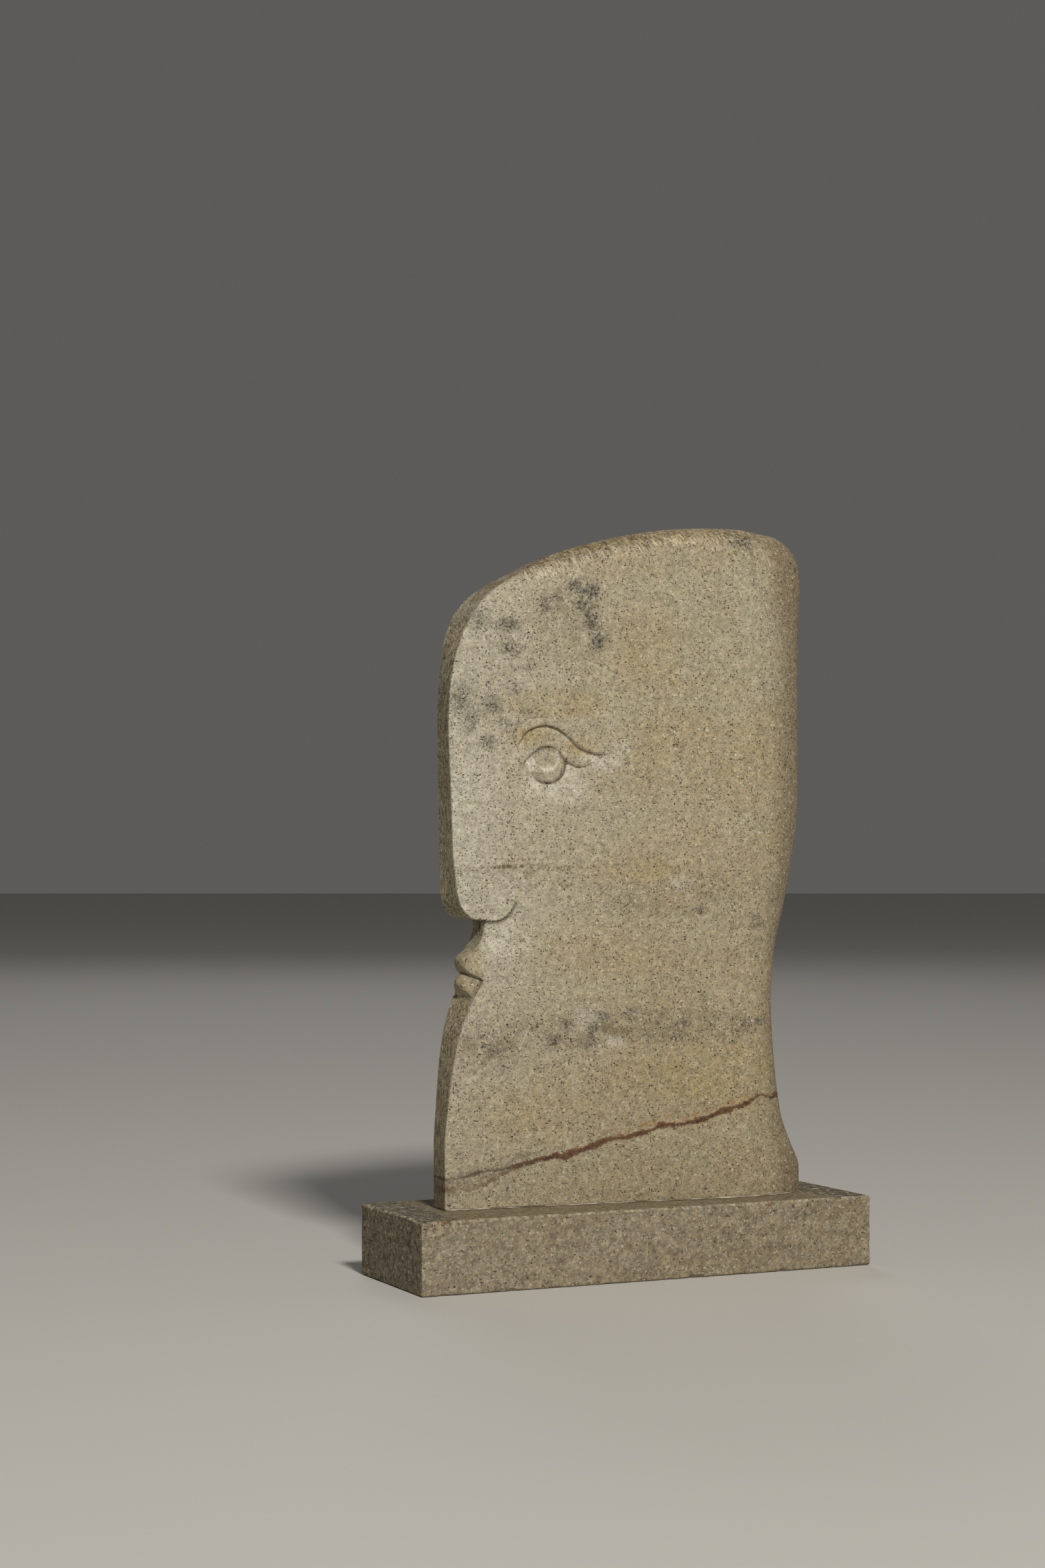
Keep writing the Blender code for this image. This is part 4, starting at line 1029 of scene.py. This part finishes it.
def chipDepths(along, length, seed):
    # how far an edge is chamfered at each place: chips of random place, width and depth, over fine nibbles
    p, random = plinthShape, np.random.default_rng(seed)
    chips = int(length / p["chipGap"])
    centres = random.uniform(-length / 2, length / 2, chips)
    widths = random.uniform(*p["chipWidth"], chips)
    depths = between(p["chipDepth"], random.uniform(0, 1, chips) ** 2.5)
    away = np.abs(along[..., None] - centres) / widths
    deepest = (depths * np.clip(1 - away ** 2, 0, 1) ** 0.6).max(-1)
    line = np.stack([along, np.full_like(along, seed * 7.0)], -1)
    return deepest + p["nibble"] * (1 + lumps(line, p["nibbleSize"], seed))


def sawPlinth():
    # a box of grids, rounded by a radius, chamfered along its edges and lowered a little by slow and quick waves
    p = plinthShape
    low, high = (np.array(c) * 1000 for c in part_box("plinth"))
    centre, half = (low + high) / 2, (high - low) / 2
    lines = [edgeCrowded(half[k], p["gapLong"] if k == 0 else p["gapAcross"], p["round"]) for k in range(3)]
    points, faces, start = [], [], 0
    for axis in range(3):
        a, b = [k for k in range(3) if k != axis]
        u, v = np.meshgrid(lines[a], lines[b], indexing="ij")
        for side in (-1, 1):
            face = np.empty(u.shape + (3,))
            face[..., a], face[..., b], face[..., axis] = u, v, side * half[axis]
            points.append(face.reshape(-1, 3))
            faces += gridFaces(np.arange(u.size).reshape(u.shape) + start)
            start += u.size
    points = np.vstack(points)
    # round every edge: step back from the box by the radius, then out along the way from there
    core = np.clip(points, -(half - p["round"]), half - p["round"])
    out = points - core
    points = core + out / np.linalg.norm(out, axis=1)[:, None] * p["round"]
    # each edge is cut back to a slanting plane, whose depth changes along the edge
    depth = half - np.abs(points)
    for axis in range(3):
        a, b = [k for k in range(3) if k != axis]
        for number in range(4):
            sides = np.array([1 if number & 1 else -1, 1 if number & 2 else -1])
            here = (np.sign(points[:, a]) == sides[0]) & (np.sign(points[:, b]) == sides[1])
            seed = p["chipSeed"] + axis * 10 + number
            limit = 0.3 * p["round"] + chipDepths(points[here, axis], 2 * half[axis], seed)
            short = np.clip(limit - (depth[here, a] + depth[here, b]) / math.sqrt(2), 0, None) / math.sqrt(2)
            points[here, a] -= sides[0] * short
            points[here, b] -= sides[1] * short
    wave = p["wave"] * (lumps(points, p["waveSize"], 77) + 0.5 * lumps(points, p["rippleSize"], 79))
    inward = np.sign(points) * (half - np.abs(points) < 1e-3) * np.array([1, 1, 0])
    points = points - inward * (p["sunk"] + wave)[:, None]
    plinth = makePiece("plinthBlock", (points + centre) / 1000, faces, greyStone, 50)
    # painted shade with some patina on the top, deepest at its ends and behind the head, a lighter brown painted shade
    # on the strip in front of the head, painted shade on the left end, two rusty spots, and paler worn edges, where a
    # point is near two faces
    corners = cornersOf(plinth.data) * 1000
    x, y, z = corners.T
    onTop = smoothStep(high[2] - p["topSkin"][0], high[2] - p["topSkin"][1], z)
    onLeft = smoothStep(low[0] + p["leftSkin"][0], low[0] + p["leftSkin"][1], x)
    ends = smoothStep(*p["ends"], np.abs(x - p["footMiddle"]))
    toSecondFace = np.sort(half - np.abs(corners - centre), axis=1)[:, 1]
    for name, values in (
            ("topShadeAndPatina", 0.85 * onTop * np.maximum(ends, smoothStep(-20, 30, y))),
            ("stripShadeAndTint", 0.8 * onTop * (1 - ends)),
            ("leftEndShade", 0.7 * onLeft),
            ("rust", 0.8 * (y < low[1] + 3) * spread(x, z, p["rustySpots"])),
            ("worn", 0.7 * smoothStep(4.5, 1.2, toSecondFace) * (z > low[2] + 6)),
            ("patchy", 0.8 * np.maximum(onTop * ends, onLeft))):
        giveField(plinth.data, name, values)
    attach(plinth, "root")
    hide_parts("plinth")


sawPlinth()
print("plinth sawn")


# the mortar between them: a thin bed whose edge runs in and out along the head's foot

mortarShape = {
    "gap": 2.0, "profileSteps": 6, "inset": 0.5, "wander": 1.5, "overlap": 0.2,   # millimetres
    # x, y, reach and how far the mortar stands out there
    "squeeze": ((-192, -22.5, 9, 1.8), (128, -46, 12, 1.6), (165, -46, 26, 1.3)),
}


def spreadMortar():
    # a ring of half-round profiles round the head's foot, closed above and below, whose reach wanders in and out
    m = mortarShape
    low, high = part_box("mortar_bed")
    loop = np.vstack([footLoop, footLoop[:1]]) * 1000
    loop = loop[np.concatenate([[True], np.linalg.norm(np.diff(loop, axis=0), axis=1) > 1e-6])]
    loop = at(loop, pickAlong(loop, np.full(len(loop), m["gap"])))[:-1]
    along = np.roll(loop, -1, 0) - np.roll(loop, 1, 0)
    along /= np.linalg.norm(along, axis=1)[:, None]
    area = np.sum(loop[:, 0] * np.roll(loop[:, 1], -1) - loop[:, 1] * np.roll(loop[:, 0], -1))
    outward = np.stack([along[:, 1], -along[:, 0]], 1) * math.copysign(1, area)
    out = -m["inset"] + m["wander"] * (0.65 * lumps(loop, 26.0, 201) + 0.5 * lumps(loop, 8.0, 203))
    for x, y, reach, amount in m["squeeze"]:
        swell = (m["inset"] + amount) * smoothStep(reach * 1.4, reach * 0.4, np.hypot(loop[:, 0] - x, loop[:, 1] - y))
        out = np.maximum(out, -m["inset"] + swell + 0.5 * lumps(loop, 5.0, 207) - 0.1)
    thickness = (high.z - low.z) * 1000 + 2 * m["overlap"]
    turn = np.linspace(-math.pi / 2, math.pi / 2, m["profileSteps"] + 1)
    reach = out[:, None] + thickness / 2 * (np.cos(turn) - 1)
    flat = loop[:, None] + outward[:, None] * reach[..., None]
    up = np.broadcast_to((low.z + high.z) * 500 + thickness / 2 * np.sin(turn), reach.shape)
    points = np.concatenate([flat, up[..., None]], -1)
    number = np.arange(points.shape[0] * points.shape[1]).reshape(points.shape[:2])
    faces = gridFaces(np.vstack([number, number[:1]]))
    faces += [number[:, 0].tolist(), number[::-1, -1].tolist()]
    mortar = makePiece("mortarJoint", points.reshape(-1, 3) / 1000, faces, mortarMaterial, 80)
    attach(mortar, "root")
    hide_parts("mortar_bed")


spreadMortar()
print("mortar spread")


# floor and light

studio = {
    "floorRadius": 60.0, "floorRings": 9, "floorSpokes": 65, "floorSunk": 0.0003, "floorColour": "#c6c4be",   # metres
    "skyColour": "#dcdad6", "skyStrength": 0.15,
    # name, place, size and power, all aimed at the middle of the sculpture
    "lamps": (("key", (-1.1, -7.4, 6.2), 1.3, 780.0, "#fffaf4"), ("back", (2.5, 8.0, 6.5), 3.0, 90.0, "#fbfaff")),
}


def layFloor():
    # a disc: rings of points growing outwards from the middle, the innermost ring a single point
    rings, spokes = studio["floorRings"], studio["floorSpokes"]
    ring = np.linspace(0, 1, rings)[:, None] ** 1.5 * studio["floorRadius"]
    turn = np.linspace(0, 2 * np.pi, spokes)[None, :]
    points = np.stack([ring * np.cos(turn), ring * np.sin(turn), 0 * ring * turn - studio["floorSunk"]], -1)
    plain = bpy.data.materials.new("paleStudioFloor")
    plain.use_nodes = True
    shader = plain.node_tree.nodes["Principled BSDF"]
    shader.inputs["Base Color"].default_value = linear(studio["floorColour"])
    shader.inputs["Roughness"].default_value = 0.8
    floor = bpy.data.meshes.new("floor")
    number = np.arange(rings * spokes).reshape(rings, spokes)
    floor.from_pydata(points.reshape(-1, 3).tolist(), [], gridFaces(number))
    floor.materials.append(plain)
    holder = bpy.data.objects.new("floor", floor)
    bpy.context.scene.collection.objects.link(holder)


def hangLamps():
    # a dim even sky, and area lamps turned to face the middle of the sculpture
    world = bpy.data.worlds.new("studio")
    bpy.context.scene.world = world
    world.use_nodes = True
    sky = world.node_tree.nodes["Background"]
    sky.inputs["Color"].default_value = linear(studio["skyColour"])
    sky.inputs["Strength"].default_value = studio["skyStrength"]
    target = np.array([0, 0, (cadLow.z + cadHigh.z) / 2])
    for name, place, size, power, colour in studio["lamps"]:
        lamp = bpy.data.lights.new(name, "AREA")
        lamp.energy = power
        lamp.size = size
        lamp.color = linear(colour)[:3]
        holder = bpy.data.objects.new(name, lamp)
        holder.location = place
        way = target - np.array(place)
        flat = math.hypot(way[0], way[1])
        holder.rotation_euler = (math.atan2(flat, -way[2]), 0, math.atan2(way[1], way[0]) - math.pi / 2)
        bpy.context.scene.collection.objects.link(holder)


layFloor()
hangLamps()
print("floor and lamps set")
